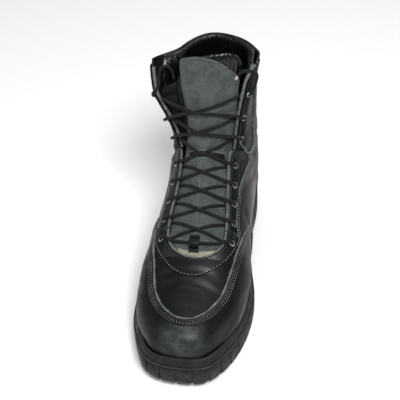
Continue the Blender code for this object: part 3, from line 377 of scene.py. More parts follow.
# Creases placed one by one: depth and width in mm, then share of the throat up the top line
# and distance across in throat radii, medial positive
creases = {
    "vampDeep": (
        0.5, 5.5, ((0.18, -1.25), (0.16, -0.9), (0.135, -0.4), (0.15, 0.35), (0.18, 0.85), (0.205, 1.2)),
    ),
    "vampFront": (0.25, 5.0, ((0.30, -1.3), (0.25, -0.6), (0.24, 0.1), (0.27, 0.7))),
    "vampBack": (0.3, 4.5, ((0.10, -1.3), (0.075, -0.6), (0.07, 0.2), (0.09, 0.9))),
    "vampSideLateral": (0.35, 5.0, ((0.16, -1.9), (0.12, -2.3), (0.05, -2.75))),
    "vampSideMedial": (0.4, 5.0, ((0.20, 1.85), (0.13, 2.3), (0.06, 2.7))),
    "instepLateral": (0.8, 6.0, ((-0.30, -1.7), (-0.27, -2.3), (-0.20, -2.9))),
    "instepMedial": (0.8, 6.0, ((-0.32, 1.75), (-0.28, 2.3), (-0.20, 2.9))),
    "ankleLateral": (1.8, 7.0, ((-0.545, -1.45), (-0.57, -2.0), (-0.585, -2.7), (-0.60, -3.4))),
    "ankleLateralLow": (1.0, 6.0, ((-0.47, -1.9), (-0.50, -2.5), (-0.535, -3.2))),
    "ankleMedial": (1.5, 7.0, ((-0.555, 1.5), (-0.575, 2.1), (-0.59, 2.8), (-0.60, 3.4))),
    "ankleMedialLow": (0.9, 6.0, ((-0.46, 1.9), (-0.50, 2.6), (-0.54, 3.3))),
    "backHigh": (1.1, 7.0, ((-0.84, 4.9), (-0.80, 4.2), (-0.775, 3.4))),
    "backHighLateral": (1.1, 7.0, ((-0.83, -4.9), (-0.80, -4.2), (-0.78, -3.4))),
    "backLow": (0.9, 6.0, ((-0.74, 4.6), (-0.715, 3.9), (-0.70, 3.2))),
    "backLowLateral": (0.9, 6.0, ((-0.745, -4.4), (-0.72, -3.8), (-0.70, -3.1))),
    "shaftMedial": (0.9, 9.0, ((-0.70, 1.9), (-0.72, 2.5), (-0.75, 3.2))),
    "shaftLateral": (1.0, 9.0, ((-0.72, -2.0), (-0.745, -2.6), (-0.77, -3.2))),
}
creaseShape = {
    "reach": 3.2, "fade": 0.25, "ridge": 0.42, "steep": 2.2, "ridgeAt": 1.25, "ridgeWidth": 0.75,
    "ripple": 0.00016, "fineRipple": 0.0001,
}
creaseLines = []
for depth, width, spots in creases.values():
    line = roundedLine(spots, 4)
    points = skinPoint(placeUp(-line[:, 0]), line[:, 1] * throatRadius)
    creaseLines.append((depth / 1000, width / 1000, points))


def relief(t, across):  # how far the worn leather lies off the last: troughs, and ridges beside them
    points = skinPoint(t, across)
    flat = points.reshape(-1, 3)
    height = np.zeros(len(flat))
    for depth, width, line in creaseLines:
        reach = creaseShape["reach"] * width
        near = np.all((flat > line.min(0) - reach) & (flat < line.max(0) + reach), axis=1)
        spots = flat[near]
        if not len(spots):
            continue
        best, at = np.full(len(spots), 9.0), np.zeros(len(spots))
        for k, (a, b) in enumerate(zip(line, line[1:])):
            run = b - a
            s = np.clip((spots - a) @ run / (run @ run), 0, 1)
            gap = np.linalg.norm(spots - a - s[:, None] * run, axis=1)
            at = np.where(gap < best, (k + s) / (len(line) - 1), at)
            best = np.minimum(gap, best)
        fade = ease(at / creaseShape["fade"]) * ease((1 - at) / creaseShape["fade"])
        trough = np.exp(-((best / width) ** 2) * creaseShape["steep"])
        off = (best - creaseShape["ridgeAt"] * width) / (creaseShape["ridgeWidth"] * width)
        ridge = np.exp(-(off**2) * 2)
        height[near] += depth * fade * (creaseShape["ridge"] * ridge - trough)
    x, y, z = flat.T * 1000
    height += creaseShape["ripple"] * np.sin(x / 9 + y / 23) * np.sin(y / 13 - z / 17)
    height += creaseShape["fineRipple"] * np.sin(z / 7 + y / 11)
    return height.reshape(points.shape[:-1])


def leather(t, across, lift=0.0):
    return skinPoint(t, across) + skinNormal(t, across) * (relief(t, across) + lift)[..., None]


def march(t, across, heading, distance):  # the places reached by walking over the leather
    t, across = np.array(t, float), np.array(across, float)
    steps = max(1, math.ceil(np.max(distance) / 0.003))
    for _ in range(steps):
        byT, byA = skinSlopes(t, across)
        tt, ta, aa = [(p * q).sum(-1) for p, q in ((byT, byT), (byT, byA), (byA, byA))]
        ht, ha = (heading * byT).sum(-1), (heading * byA).sum(-1)
        det = np.maximum(tt * aa - ta * ta, 1e-12)
        moveT, moveA = (ht * aa - ha * ta) / det, (ha * tt - ht * ta) / det
        size = np.linalg.norm(byT * moveT[..., None] + byA * moveA[..., None], axis=-1)
        scale = distance / steps / np.maximum(size, 1e-9)
        t = np.clip(t + moveT * scale, 0, 1)
        across = across + moveA * scale
    return t, across


def lastNormal(t, across):
    high, low = np.minimum(t + slopeStep, 1), np.maximum(t - slopeStep, 0)
    byT = lastPoint(high, across) - lastPoint(low, across)
    return unit(np.cross(lastPoint(t, across + slopeReach) - lastPoint(t, across - slopeReach), byT))


def beyond(run, across, lift):  # on the last inside the throat, and straight on above the collar
    run, across = np.broadcast_arrays(np.asarray(run, float), np.asarray(across, float))
    t = placeOf(np.minimum(run, wholeThroat))
    up = unit(topPoint(np.array(1.0)) - topPoint(np.array(collarTangent)))
    over = np.maximum(0, run - wholeThroat)[..., None]
    return lastPoint(t, across) + lastNormal(t, across) * np.asarray(lift)[..., None] + up * over


def insideOut(run, across):
    return -lastNormal(placeOf(np.minimum(run, wholeThroat)), across)


print("boot: last shaped")


# Camera at the photo's angle, closer in on the one boot
view = {
    "down": 43.0, "turn": 5.5, "away": 1.29, "lens": 81.0, "aimX": -0.086, "aimY": -0.256, "sensor": 36,
    "middle": (0.001, -0.001, 0.108), "closer": 1.27, "near": 0.05, "far": 20,
}


def addCamera():
    down, turn = math.radians(view["down"]), math.radians(-view["turn"])
    c, s = math.cos(turn), math.sin(turn)
    x, y = -view["aimX"], -view["away"] * math.cos(down) - view["aimY"]
    spot = Vector((c * x + s * y, -s * x + c * y, view["away"] * math.sin(down)))
    spot += Vector((centreX, -boot["length"] / 2, 0))
    lens = bpy.data.cameras.new("camera")
    camera = bpy.data.objects.new("camera", lens)
    bpy.context.scene.collection.objects.link(camera)
    camera.location = spot
    middle = Vector(view["middle"])
    photo = Euler((math.pi / 2 - down, 0, -turn)).to_quaternion()
    camera.rotation_mode = "QUATERNION"
    camera.rotation_quaternion = (photo @ Vector((0, 0, -1))).rotation_difference(middle - spot) @ photo
    lens.sensor_width = view["sensor"]
    lens.lens = view["lens"] * view["closer"]
    lens.clip_start, lens.clip_end = view["near"], view["far"]
    bpy.context.scene.camera = camera


addCamera()


def addObject(name, bm):
    mesh = bpy.data.meshes.new(name)
    bm.to_mesh(mesh)
    bm.free()
    made = bpy.data.objects.new(name, mesh)
    bpy.context.scene.collection.objects.link(made)
    return made


def addPiece(bm, name, material, slot, *nodes, wall=0.0, weld=1e-6):
    bmesh.ops.remove_doubles(bm, verts=bm.verts, dist=weld)
    piece = addObject(name, bm)
    piece.data.shade_smooth()
    piece.data.materials.append(material)
    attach(piece, "root")
    if nodes:
        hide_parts(*nodes)
    if wall:
        solid = piece.modifiers.new("wall", "SOLIDIFY")
        solid.thickness, solid.offset = wall, -1
    return piece


def addGrid(bm, wide, tall, shape, uv=None, outward=None):
    # a grid of wide by tall faces, bent by shape(u, v); uv gives the pattern's own metres
    made = bmesh.ops.create_grid(bm, x_segments=wide, y_segments=tall, size=0.5, calc_uvs=False)["verts"]
    spots = np.array([v.co[:2] for v in made]) + 0.5
    points = shape(spots[:, 0], spots[:, 1])
    flat = {v: spots[k] for k, v in enumerate(made)}
    for v, point in zip(made, points):
        v.co = point
    faces = list(dict.fromkeys(f for v in made for f in v.link_faces))
    if outward is not None:
        middle = min(faces, key=lambda f: sum((flat[v][0] - 0.5) ** 2 + (flat[v][1] - 0.5) ** 2 for v in f.verts))
        middle.normal_update()
        want = Vector(outward(np.array([0.5]), np.array([0.5]))[0])
        if middle.normal.dot(want) < 0:
            bmesh.ops.reverse_faces(bm, faces=faces)
    if uv is not None:
        layer = bm.loops.layers.uv.get("pattern") or bm.loops.layers.uv.new("pattern")
        values = dict(zip(made, uv(spots[:, 0], spots[:, 1])))
        for f in faces:
            for loop in f.loops:
                loop[layer].uv = values[loop.vert]
    return made, spots


def tube(name, points, radius, sides, material, slot, *nodes):
    # a closed tube swept along points, with its own pattern: round it, and along it in metres
    points = np.asarray(points, float)
    run = runOf(points)
    tangent = unit(np.gradient(points, axis=0))
    across = np.cross(tangent[0], (0.0, 0.3, 1.0))
    frames = []
    for direction in tangent:
        across = across - direction * (across @ direction)
        across = across / np.linalg.norm(across)
        frames.append((across, np.cross(direction, across)))
    frames = np.array(frames)
    count = len(points) - 1
    bm = bmesh.new()

    def shape(u, v):
        k = np.clip(np.rint(v * count).astype(int), 0, count)
        turn = u * 2 * math.pi
        shrink = np.where((k == 0) | (k == count), 0.55, 1)[:, None]
        ring = frames[k, 0] * np.cos(turn)[:, None] + frames[k, 1] * np.sin(turn)[:, None]
        return points[k] + ring * radius * shrink

    def pattern(u, v):
        return np.stack([u, run[np.rint(v * count).astype(int)]], axis=1)

    addGrid(bm, sides, count, shape, pattern)
    bmesh.ops.remove_doubles(bm, verts=bm.verts, dist=radius / 50)
    bmesh.ops.holes_fill(bm, edges=[e for e in bm.edges if e.is_boundary], sides=0)
    bmesh.ops.recalc_face_normals(bm, faces=bm.faces)
    return addPiece(bm, name, material, slot, *nodes)


# Shader groups, each built once and placed in several materials
def newGroup(name, outputs, **inputs):  # a group read at a vector, with numbers as its other inputs
    group = bpy.data.node_groups.new(name, "ShaderNodeTree")
    group.interface.new_socket("Vector", in_out="INPUT", socket_type="NodeSocketVector")
    for label, value in inputs.items():
        group.interface.new_socket(label, in_out="INPUT", socket_type="NodeSocketFloat").default_value = value
    for label in outputs:
        group.interface.new_socket(label, in_out="OUTPUT", socket_type="NodeSocketFloat")
    start, end = group.nodes.new("NodeGroupInput"), group.nodes.new("NodeGroupOutput")
    return group, start.outputs, end.inputs


def addNode(tree, kind, **values):
    node = tree.nodes.new("ShaderNode" + kind)
    for key, value in values.items():
        setattr(node, key, value)
    return node


def feed(tree, sockets, values):  # each value is a number, a colour or another node's output
    for socket, value in zip(sockets, values):
        if isinstance(value, (int, float)):
            socket.default_value = value
        elif isinstance(value, tuple):
            socket.default_value = (*value, 1)
        else:
            tree.links.new(value, socket)


def combine(tree, operation, *values, clamp=False):
    node = addNode(tree, "Math", operation=operation, use_clamp=clamp)
    feed(tree, node.inputs, values)
    return node.outputs[0]


def times(tree, a, b):
    return combine(tree, "MULTIPLY", a, b)


def plus(tree, a, b, clamp=False):
    return combine(tree, "ADD", a, b, clamp=clamp)


def minus(tree, a, b, clamp=False):
    return combine(tree, "SUBTRACT", a, b, clamp=clamp)


def ramp(tree, value, low, high, start=0.0, end=1.0):
    node = addNode(tree, "MapRange", interpolation_type="SMOOTHSTEP")
    feed(tree, node.inputs, (value, low, high, start, end))
    return node.outputs[0]


def noise(tree, vector, scale, detail=3.0, rough=0.55, distort=0.0, stretch=None):
    if stretch:
        mapping = addNode(tree, "Mapping")
        mapping.inputs["Scale"].default_value = stretch
        tree.links.new(vector, mapping.inputs["Vector"])
        vector = mapping.outputs[0]
    node = addNode(tree, "TexNoise")
    sockets = [node.inputs[word] for word in ("Vector", "Scale", "Detail", "Roughness", "Distortion")]
    feed(tree, sockets, (vector, scale, detail, rough, distort))
    return node.outputs["Fac"]


def mixColour(tree, factor, a, b):
    node = addNode(tree, "Mix", data_type="RGBA")
    feed(tree, [node.inputs[k] for k in (0, 6, 7)], (factor, a, b))
    return node.outputs[2]


def buildGrain():  # full-grain leather: small pebbles with fine folds between them
    group, given, result = newGroup("leather grain", ("Height", "Pores"), Scale=650.0, Folds=0.5)
    spot = given["Vector"]
    cells = addNode(group, "TexVoronoi", feature="SMOOTH_F1")
    feed(group, [cells.inputs["Vector"], cells.inputs["Scale"]], (spot, given["Scale"]))
    pebble = ramp(group, cells.outputs["Distance"], 0.1, 0.75, 1.0, 0.0)
    folds = times(group, noise(group, spot, 95.0, 4.0, 0.6, 1.2), given["Folds"])
    fine = noise(group, spot, 2600.0, 2.0)
    height = plus(group, times(group, pebble, 0.55), times(group, fine, 0.2))
    feed(group, result, (plus(group, height, times(group, folds, 2.2)), minus(group, 1.0, pebble, True)))
    return group


def buildWear():  # broad rubbed patches, and fine scratches inside them
    group, given, result = newGroup("wear", ("Rubbed", "Scratch"), Amount=0.5, Patch=22.0)
    patch = noise(group, given["Vector"], given["Patch"], 5.0, 0.62, 0.6)
    edge = minus(group, 0.78, times(group, given["Amount"], 0.34))
    lines = noise(group, given["Vector"], 160.0, 4.0, 0.7, 0.4, (1.0, 0.25, 1.0))
    scratch = times(group, ramp(group, lines, 0.6, 0.72), ramp(group, patch, 0.42, 0.66))
    feed(group, result, (ramp(group, patch, edge, plus(group, edge, 0.2)), scratch))
    return group


def buildDust():  # grey dust that lies thickest near the floor
    group, given, result = newGroup("dust", ("Dust",), Top=0.06, Amount=0.6)
    split = addNode(group, "SeparateXYZ")
    feed(group, split.inputs, (given["Vector"],))
    low = minus(group, 1.0, combine(group, "DIVIDE", split.outputs["Z"], given["Top"]), True)
    speck = noise(group, given["Vector"], 240.0, 5.0, 0.7)
    cloud = noise(group, given["Vector"], 34.0, 3.0)
    grain = times(group, ramp(group, speck, 0.4, 0.68), ramp(group, cloud, 0.3, 0.62, 0.35, 1.0))
    feed(group, result, (times(group, times(group, grain, low), given["Amount"]),))
    return group


def buildNap():  # suede: short fibres brushed into lighter and darker patches
    group, given, result = newGroup("suede nap", ("Height", "Brushed"), Scale=1500.0)
    fibre = noise(group, given["Vector"], given["Scale"], 3.0, 0.7, 0.3, (1.0, 0.45, 0.45))
    patches = noise(group, given["Vector"], 70.0, 5.0, 0.65, 1.6)
    both = plus(group, times(group, fibre, 0.4), times(group, patches, 0.6))
    feed(group, result, (fibre, ramp(group, both, 0.3, 0.7)))
    return group


grainGroup, wearGroup, dustGroup, napGroup = buildGrain(), buildWear(), buildDust(), buildNap()


def newMaterial(name, roughness=0.5, metallic=0.0, coat=0.0, coatRoughness=0.2, specular=0.5, sheen=0.0):
    made = bpy.data.materials.new(name)
    made.use_nodes = True
    shader = made.node_tree.nodes["Principled BSDF"]
    words = ("Roughness", "Metallic", "Coat Weight", "Coat Roughness", "Specular IOR Level", "Sheen Weight")
    for word, value in zip(words, (roughness, metallic, coat, coatRoughness, specular, sheen)):
        shader.inputs[word].default_value = value
    where = addNode(made.node_tree, "TexCoord")
    return made, made.node_tree, shader, where.outputs["Object"]


def useGroup(tree, group, vector, **values):
    node = tree.nodes.new("ShaderNodeGroup")
    node.node_tree = group
    tree.links.new(vector, node.inputs["Vector"])
    feed(tree, [node.inputs[key] for key in values], values.values())
    return node.outputs


def addBump(tree, shader, height, distance, strength, *before):
    bump = addNode(tree, "Bump")
    sockets = [bump.inputs[word] for word in ("Height", "Distance", "Strength", "Normal")]
    feed(tree, sockets, (height, distance, strength, *before))
    tree.links.new(bump.outputs[0], shader.inputs["Normal"])
    return bump.outputs[0]


def paint(tree, shader, colour, roughness=None):
    tree.links.new(colour, shader.inputs["Base Color"])
    if roughness is not None:
        tree.links.new(roughness, shader.inputs["Roughness"])


leatherFinish = {
    "dark": (0.0030, 0.0037, 0.0040),
    "worn": (0.0095, 0.0115, 0.0120),
    "scuff": (0.06, 0.07, 0.07),
    "dust": (0.045, 0.043, 0.038),
    "raw": (0.10, 0.125, 0.115),
}


# the toe's pale patch: dragged scuff streaks, and a painted highlight spread round the spot where the toe's sheen
# falls
toeScuffAndSheen = {"spot": (0.001, -0.141, 0.0535), "reach": 0.030, "colour": (0.092, 0.106, 0.108)}


def blackLeather(
    name, rough=0.41, grain=650.0, wear=0.5, scuffs=0.4, coat=0.15, folds=0.4, gloss=0.11, edges=False, toe=False
):
    made, tree, shader, spot = newMaterial(name, coat=coat, coatRoughness=0.34, specular=gloss)
    leatherGrain = useGroup(tree, grainGroup, spot, Scale=grain, Folds=folds)
    rubbed = useGroup(tree, wearGroup, spot, Amount=wear, Patch=24.0)
    dust = useGroup(tree, dustGroup, spot, Top=0.075, Amount=0.5)["Dust"]
    colour = mixColour(tree, rubbed["Rubbed"], leatherFinish["dark"], leatherFinish["worn"])
    colour = mixColour(tree, times(tree, rubbed["Scratch"], scuffs), colour, leatherFinish["scuff"])
    colour = mixColour(tree, times(tree, leatherGrain["Pores"], 0.35), colour, (0.004, 0.0045, 0.005))
    dull = ramp(tree, noise(tree, spot, 30.0, 4.0), 0.3, 0.7, rough - 0.07, rough + 0.13)
    if edges:  # the cut edge of the leather shows its paler inside
        raw = addNode(tree, "Attribute", attribute_name="rawEdge")
        edge = times(tree, raw.outputs["Fac"], ramp(tree, noise(tree, spot, 260.0, 3.0), 0.3, 0.55, 0.45, 1.0))
        colour = mixColour(tree, edge, colour, leatherFinish["raw"])
        dull = plus(tree, dull, times(tree, edge, 0.4))
    if toe:  # pale streaks where the toe has been dragged, over a broad pale patch that is a painted highlight on the toe
        away = addNode(tree, "VectorMath", operation="DISTANCE")
        away.inputs[1].default_value = toeScuffAndSheen["spot"]
        tree.links.new(spot, away.inputs[0])
        streaks = noise(tree, spot, 160.0, 7.0, 0.62, 0.3, (0.5, 0.9, 1.0))
        near = ramp(tree, away.outputs["Value"], toeScuffAndSheen["reach"] * 0.3, toeScuffAndSheen["reach"], 1.0, 0.0)
        # the ramp never falls below 0.3, so the whole patch is painted paler as a painted highlight, with the
        # streaks on top
        scuffAndSheen = times(tree, near, ramp(tree, streaks, 0.40, 0.72, 0.3, 1.0))
        colour = mixColour(tree, times(tree, scuffAndSheen, 0.5), colour, toeScuffAndSheen["colour"])
        dull = plus(tree, dull, times(tree, scuffAndSheen, 0.25))
    colour = mixColour(tree, dust, colour, leatherFinish["dust"])
    dull = plus(tree, dull, times(tree, dust, 0.4))
    dull = plus(tree, dull, times(tree, rubbed["Rubbed"], 0.08), True)
    paint(tree, shader, colour, dull)
    addBump(tree, shader, leatherGrain["Height"], 0.00022, 0.5)
    return made


def greySuede(name, dark=(0.022, 0.0268, 0.0268), pale=(0.068, 0.079, 0.077)):
    made, tree, shader, spot = newMaterial(name, roughness=0.9, specular=0.25, sheen=0.15)
    nap = useGroup(tree, napGroup, spot, Scale=1500.0)
    wear = useGroup(tree, wearGroup, spot, Amount=0.5, Patch=30.0)
    colour = mixColour(tree, nap["Brushed"], dark, pale)
    colour = mixColour(tree, times(tree, wear["Rubbed"], 0.4), colour, (0.085, 0.094, 0.087))
    paint(tree, shader, colour)
    addBump(tree, shader, nap["Height"], 0.00025, 0.6)
    return made


def blackRubber(name, dark=(0.0105, 0.0100, 0.0092), amount=0.5):
    made, tree, shader, spot = newMaterial(name, specular=0.2)
    dust = useGroup(tree, dustGroup, spot, Top=0.085, Amount=amount)["Dust"]
    wear = useGroup(tree, wearGroup, spot, Amount=0.7, Patch=40.0)
    colour = mixColour(tree, wear["Rubbed"], dark, (0.022, 0.0215, 0.020))
    colour = mixColour(tree, times(tree, wear["Scratch"], 0.5), colour, (0.075, 0.073, 0.068))
    colour = mixColour(tree, dust, colour, (0.055, 0.052, 0.046))
    paint(tree, shader, colour, ramp(tree, noise(tree, spot, 60.0, 4.0), 0.3, 0.7, 0.5, 0.8))
    addBump(tree, shader, noise(tree, spot, 900.0, 4.0, 0.7), 0.0003, 0.6)
    return made


def puckeredLining(name, gloss=0.13):  # thin glossy leather, gathered over foam
    made, tree, shader, spot = newMaterial(name, coat=0.3, coatRoughness=0.1, specular=0.2)
    grain = useGroup(tree, grainGroup, spot, Scale=900.0, Folds=0.6)
    crinkle = noise(tree, spot, 150.0, 3.0, 0.55, 2.5, (1.0, 1.0, 0.4))
    colour = mixColour(tree, grain["Pores"], (0.0035, 0.0038, 0.004), (0.002, 0.0022, 0.0024))
    paint(tree, shader, colour, ramp(tree, crinkle, 0.3, 0.7, gloss, gloss + 0.16))
    first = addBump(tree, shader, crinkle, 0.0014, 0.8)
    addBump(tree, shader, grain["Height"], 0.00015, 0.4, first)
    return made


def lacecord(name):  # a braid of two families of strands round the cord
    made, tree, shader, spot = newMaterial(name, roughness=0.72, specular=0.18, sheen=0.05)
    split = addNode(tree, "SeparateXYZ")
    feed(tree, split.inputs, (addNode(tree, "TexCoord").outputs["UV"],))
    around = times(tree, split.outputs["X"], 2 * math.pi * 5)
    along = times(tree, split.outputs["Y"], 2 * math.pi / 0.0028)
    one = combine(tree, "SINE", plus(tree, around, along))
    two = combine(tree, "SINE", minus(tree, around, along))
    braid = combine(tree, "MAXIMUM", one, two)
    fuzz = noise(tree, spot, 1800.0, 2.0)
    height = plus(tree, braid, times(tree, fuzz, 0.6))
    # painted shade: the cord is coloured darker in the grooves between strands and paler on their tops
    braidPaintedShade = ramp(tree, braid, -0.2, 0.9)
    paint(tree, shader, mixColour(tree, braidPaintedShade, (0.0012, 0.0014, 0.0015), (0.0055, 0.0064, 0.0068)))
    addBump(tree, shader, height, 0.00022, 0.8)
    return made


def wornMetal(name):
    made, tree, shader, spot = newMaterial(name, metallic=0.9, specular=0.5)
    wear = useGroup(tree, wearGroup, spot, Amount=0.9, Patch=300.0)
    colour = mixColour(tree, wear["Rubbed"], (0.16, 0.165, 0.155), (0.62, 0.64, 0.60))
    paint(tree, shader, colour, ramp(tree, wear["Rubbed"], 0.0, 1.0, 0.5, 0.3))
    return made


def agletTube(name, dark, pale):
    made, tree, shader, spot = newMaterial(name, roughness=0.3, specular=0.5)
    paint(tree, shader, mixColour(tree, noise(tree, spot, 500.0), dark, pale))
    return made


def sewingThread(name, pale=(0.21, 0.23, 0.20)):
    made, tree, shader, spot = newMaterial(name, roughness=0.75, specular=0.3)
    fibre = noise(tree, spot, 1400.0, 2.0)
    patch = noise(tree, spot, 60.0, 3.0)
    colour = mixColour(tree, fibre, tuple(0.45 * x for x in pale), pale)
    colour = mixColour(tree, ramp(tree, patch, 0.45, 0.65, 0.0, 0.65), colour, (0.02, 0.022, 0.022))
    paint(tree, shader, colour)
    addBump(tree, shader, fibre, 0.0001, 0.5)
    return made


upperLeather = blackLeather("upper leather", coat=0.13, gloss=0.08, toe=True)
panelLeather = blackLeather("panel leather", rough=0.38, wear=0.55, scuffs=0.45, edges=True)
shaftLeather = blackLeather("shaft leather", rough=0.5, coat=0.0, gloss=0.04, edges=True)
softLeather = blackLeather("soft leather", rough=0.42, grain=1000.0, wear=0.35, scuffs=0.2, coat=0.1, folds=0.9)
tongueSuede = greySuede("tongue suede")
rawEdge = greySuede("raw edge", (0.034, 0.041, 0.036), (0.112, 0.128, 0.114))
creamEdge = greySuede("cream edge", (0.10, 0.10, 0.08), (0.30, 0.29, 0.22))
soleRubber = blackRubber("sole rubber", amount=0.75)
randRubber = blackRubber("rand rubber", (0.0085, 0.0085, 0.0082), 0.4)
lipRubber = blackRubber("lip rubber", (0.024, 0.0235, 0.020), 1.0)
glossLining = puckeredLining("collar lining leather")
insoleCloth = greySuede("insole cloth", (0.008, 0.009, 0.01), (0.022, 0.024, 0.025))
cordWeave = lacecord("lace braid")
eyeletMetal = wornMetal("eyelet metal")
paleThread = sewingThread("pale thread")
# one kind of aglet in two colours: the medial one painted pale as a painted glint, the lateral one painted
# near-black as painted shade inside the boot
agletPaintedGlint = agletTube("aglet with painted glint", (0.16, 0.165, 0.15), (0.44, 0.45, 0.40))
agletPaintedShade = agletTube("aglet in painted shade", (0.003, 0.003, 0.003), (0.012, 0.012, 0.011))
darkThread = sewingThread("dark thread", (0.07, 0.08, 0.075))
print("boot: finishes made")


# Laces: heights off the leather in the throat, over and under the edges; "free" is how far the flare reaches
lacing = {
    "top": 0.0046, "inThroat": -0.0008, "under": -0.0034, "crossOver": 0.0019, "crossUnder": -0.0011,
    "free": 0.02, "held": 1.12, "probe": 0.001, "mostMove": 0.006, "step": 0.0017, "sides": 10,
}


def eyeletSpot(row, side):
    t = float(placeOf((lowerEyelets + upperEyelets)[row - 1]))
    return t, side * (float(throatEdge(t, side)) + boot["eyeletInset"])


def laceSpots(rows):  # rows of (run up the throat, distance across, lift) as points on the leather
    rows = np.array(rows, float)
    t, across = placeOf(rows[:, 0]), rows[:, 1]
    edge = np.where(across >= 0, throatEdge(t, medial), throatEdge(t, lateral))
    # the flaps' flare dies out over the tongue
    held = np.clip((abs(across) - edge) / lacing["free"] + lacing["held"], 0, 1)[:, None]
    return lastPoint(t, across) + flare(t, across) * held + skinNormal(t, across) * rows[:, 2:3]


def straightOver(first, last, share):  # the place a taut strand passes, part of the way between two rows
    ends = laceSpots([first, last])
    aim = mix(ends[0], ends[1], share)
    row = mix(np.array(first), np.array(last), share)
    outward = skinNormal(placeOf(row[:1]), np.zeros(1))[0]
    probe, most = lacing["probe"], lacing["mostMove"]
    for _ in range(5):
        here, up, along = laceSpots([row, row + (probe, 0, 0), row + (0, probe, 0)])
        gap = np.linalg.solve(np.array([(up - here) / probe, (along - here) / probe, -outward]).T, aim - here)
        row[:2] += np.clip(gap[:2], -most, most)
    return row


def crossing(row, side):  # from one eyelet over or under the edge, across, and up through the next
    runs = lowerEyelets + upperEyelets
    start, end = runs[row - 1], runs[row]
    edge = float(throatEdge(placeOf(start), side))
    far = float(throatEdge(placeOf(end), -side))
    top, low = lacing["top"], lacing["inThroat"]
    inset = boot["eyeletInset"]
    hump = lacing["crossOver"] if side == medial else lacing["crossUnder"]
    if row == 1:
        spots = [(start, edge + inset, 0.0003), (start, edge + inset - 0.0022, lacing["under"] + 0.0006)]
        spots.append((start + 0.0002, edge + 0.001, lacing["under"]))
    else:
        spots = [(start, edge + inset - 0.0026, top - 0.0002), (start + 0.0002, edge + 0.0014, top - 0.0008)]
        spots += [(start + 0.0006, edge - 0.0026, mix(low, top, 0.66))]
    first = (start + 0.0012, side * (edge - 0.0060), low + 0.0010)
    last = (end - 0.0036, -side * (far - 0.0050), low)
    for share, height in ((0.2, 0.0), (0.35, 0.3), (0.43, 0.8), (0.5, 1.0), (0.57, 0.8), (0.65, 0.3), (0.8, 0.0)):
        run, across, lift = straightOver(first, last, share)
        spots.append((run, side * across, low + hump * height))
    spots += [
        (end - 0.0030, -far - 0.0008, lacing["under"]),
        (end - 0.0012, -far - inset + 0.002, lacing["under"] + 0.0008),
        (end - 0.0002, -far - inset, 0.0006),
        (end, -far - inset + 0.0006, top - 0.0012) if row < 7 else (end + 0.0008, -far - inset, top - 0.0012),
    ]
    return [(run, side * across, lift) for run, across, lift in spots]


def laceBar():
    run = lowerEyelets[0]
    top, low = lacing["top"], lacing["inThroat"]
    spots = []
    for side in (lateral, medial):
        edge = float(throatEdge(placeOf(run), side))
        half = [
            (run, edge + boot["eyeletInset"], 0.0003),
            (run, edge + boot["eyeletInset"] - 0.0008, top - 0.0012),
            (run, edge + 0.0012, top - 0.0008),
            (run - 0.003, edge - 0.003, mix(low, top, 0.66)),
            (run - 0.004, edge - 0.0075, low + 0.0004),
            (run - 0.0055, edge - 0.016, low),
        ]
        half = [(r, side * a, h) for r, a, h in half]
        spots += half + [(run - 0.006, 0.0, low)] if side == lateral else half[::-1]
    return spots


def lacedLine(side):  # from the middle of the bar up to the last eyelet
    bar = laceBar()
    middle = len(bar) // 2
    rows = (bar[middle:] if side == medial else bar[middle::-1])[:-1]
    for row in range(1, 8):
        rows += crossing(row, side)
        side = -side
    return laceSpots(rows)


# Lace ends beyond the top eyelets: up the throat, out from its edge, and off the leather, in mm
laceEnds = {
    "medial": (
        (0.6, 7.8, 3.4), (3.5, 8.8, 4.6), (8.5, 9.6, 4.8), (14.0, 9.0, 4.8), (18.2, 5.8, 4.8), (20.6, 1.6, 4.2),
        (21.6, -2.4, 2.0), (21.2, -4.8, -1.2), (20.0, -6.2, -3.8), (18.0, -7.0, -5.2), (14.0, -7.6, -5.4),
    ),
    "lateral": (
        (0.6, 7.8, 3.0), (1.6, 4.6, 3.3), (3.0, 1.4, 3.3), (4.6, -1.8, 2.2), (6.2, -3.2, -0.6), (8.0, -2.8, -3.6),
        (11.0, -1.0, -5.6), (15.0, 1.0, -6.2), (18.6, 2.6, -6.8), (21.8, 5.6, -8.4), (23.2, 10.0, -11.0),
        (22.2, 14.6, -13.2), (19.2, 17.6, -14.2), (15.5, 18.8, -14.4),
    ),
}


def laceEnd(side, word):
    run, rows = upperEyelets[-1], []
    for up, out, lift in laceEnds[word]:
        edge = float(throatEdge(placeOf(run + up / 1000), side))
        rows.append((run + up / 1000, side * (edge + out / 1000), lift / 1000))
    return laceSpots(rows)


def addLaces():
    radius, sidesRound = boot["laceRadius"], lacing["sides"]
    halves = [roundedLine(lacedLine(side), 6) for side in (lateral, medial)]
    nodes = ["lace_bar"] + [f"lace_crossing_{k}" for k in range(1, 8)]
    whole = np.vstack([halves[0][::-1], halves[1][1:]])
    whole = spotsAlong(whole, np.arange(0, runOf(whole)[-1], lacing["step"]))
    tube("lace", whole, radius, sidesRound, cordWeave, "black_cord", *nodes)
    print("boot: laced part", round(float(runOf(whole)[-1]), 3), "m")
    for side, word in sides:
        line = roundedLine(laceEnd(side, word), 6)
        line = spotsAlong(line, np.linspace(0, runOf(line)[-1], 48))
        for _ in range(12):  # a cord has no kinks
            line[1:-1] = (line[:-2] + 2 * line[1:-1] + line[2:]) / 4
        end = tube("laceEnd_" + word, line, radius, sidesRound, cordWeave, "black_cord", "lace_end_" + word)
        run = line[-1] - line[-2]
        tip = line[-1] + np.outer(np.linspace(-0.0010, 0.0038, 8), run / np.linalg.norm(run))
        # the two aglets differ only by painted light: a painted glint on the medial end, painted shade on the
        # lateral end
        finish = agletPaintedGlint if side == medial else agletPaintedShade
        aglet = tube("aglet_" + word, tip, radius * 0.92, 12, finish, "worn_metal")


addLaces()


# Upper: the worn skin over the last, one wall, open at the collar, the throat and underneath
upperMesh = {"toeRows": 84, "bendRows": 16, "shaftRows": 104, "columns": 88, "footBand": 0.006}


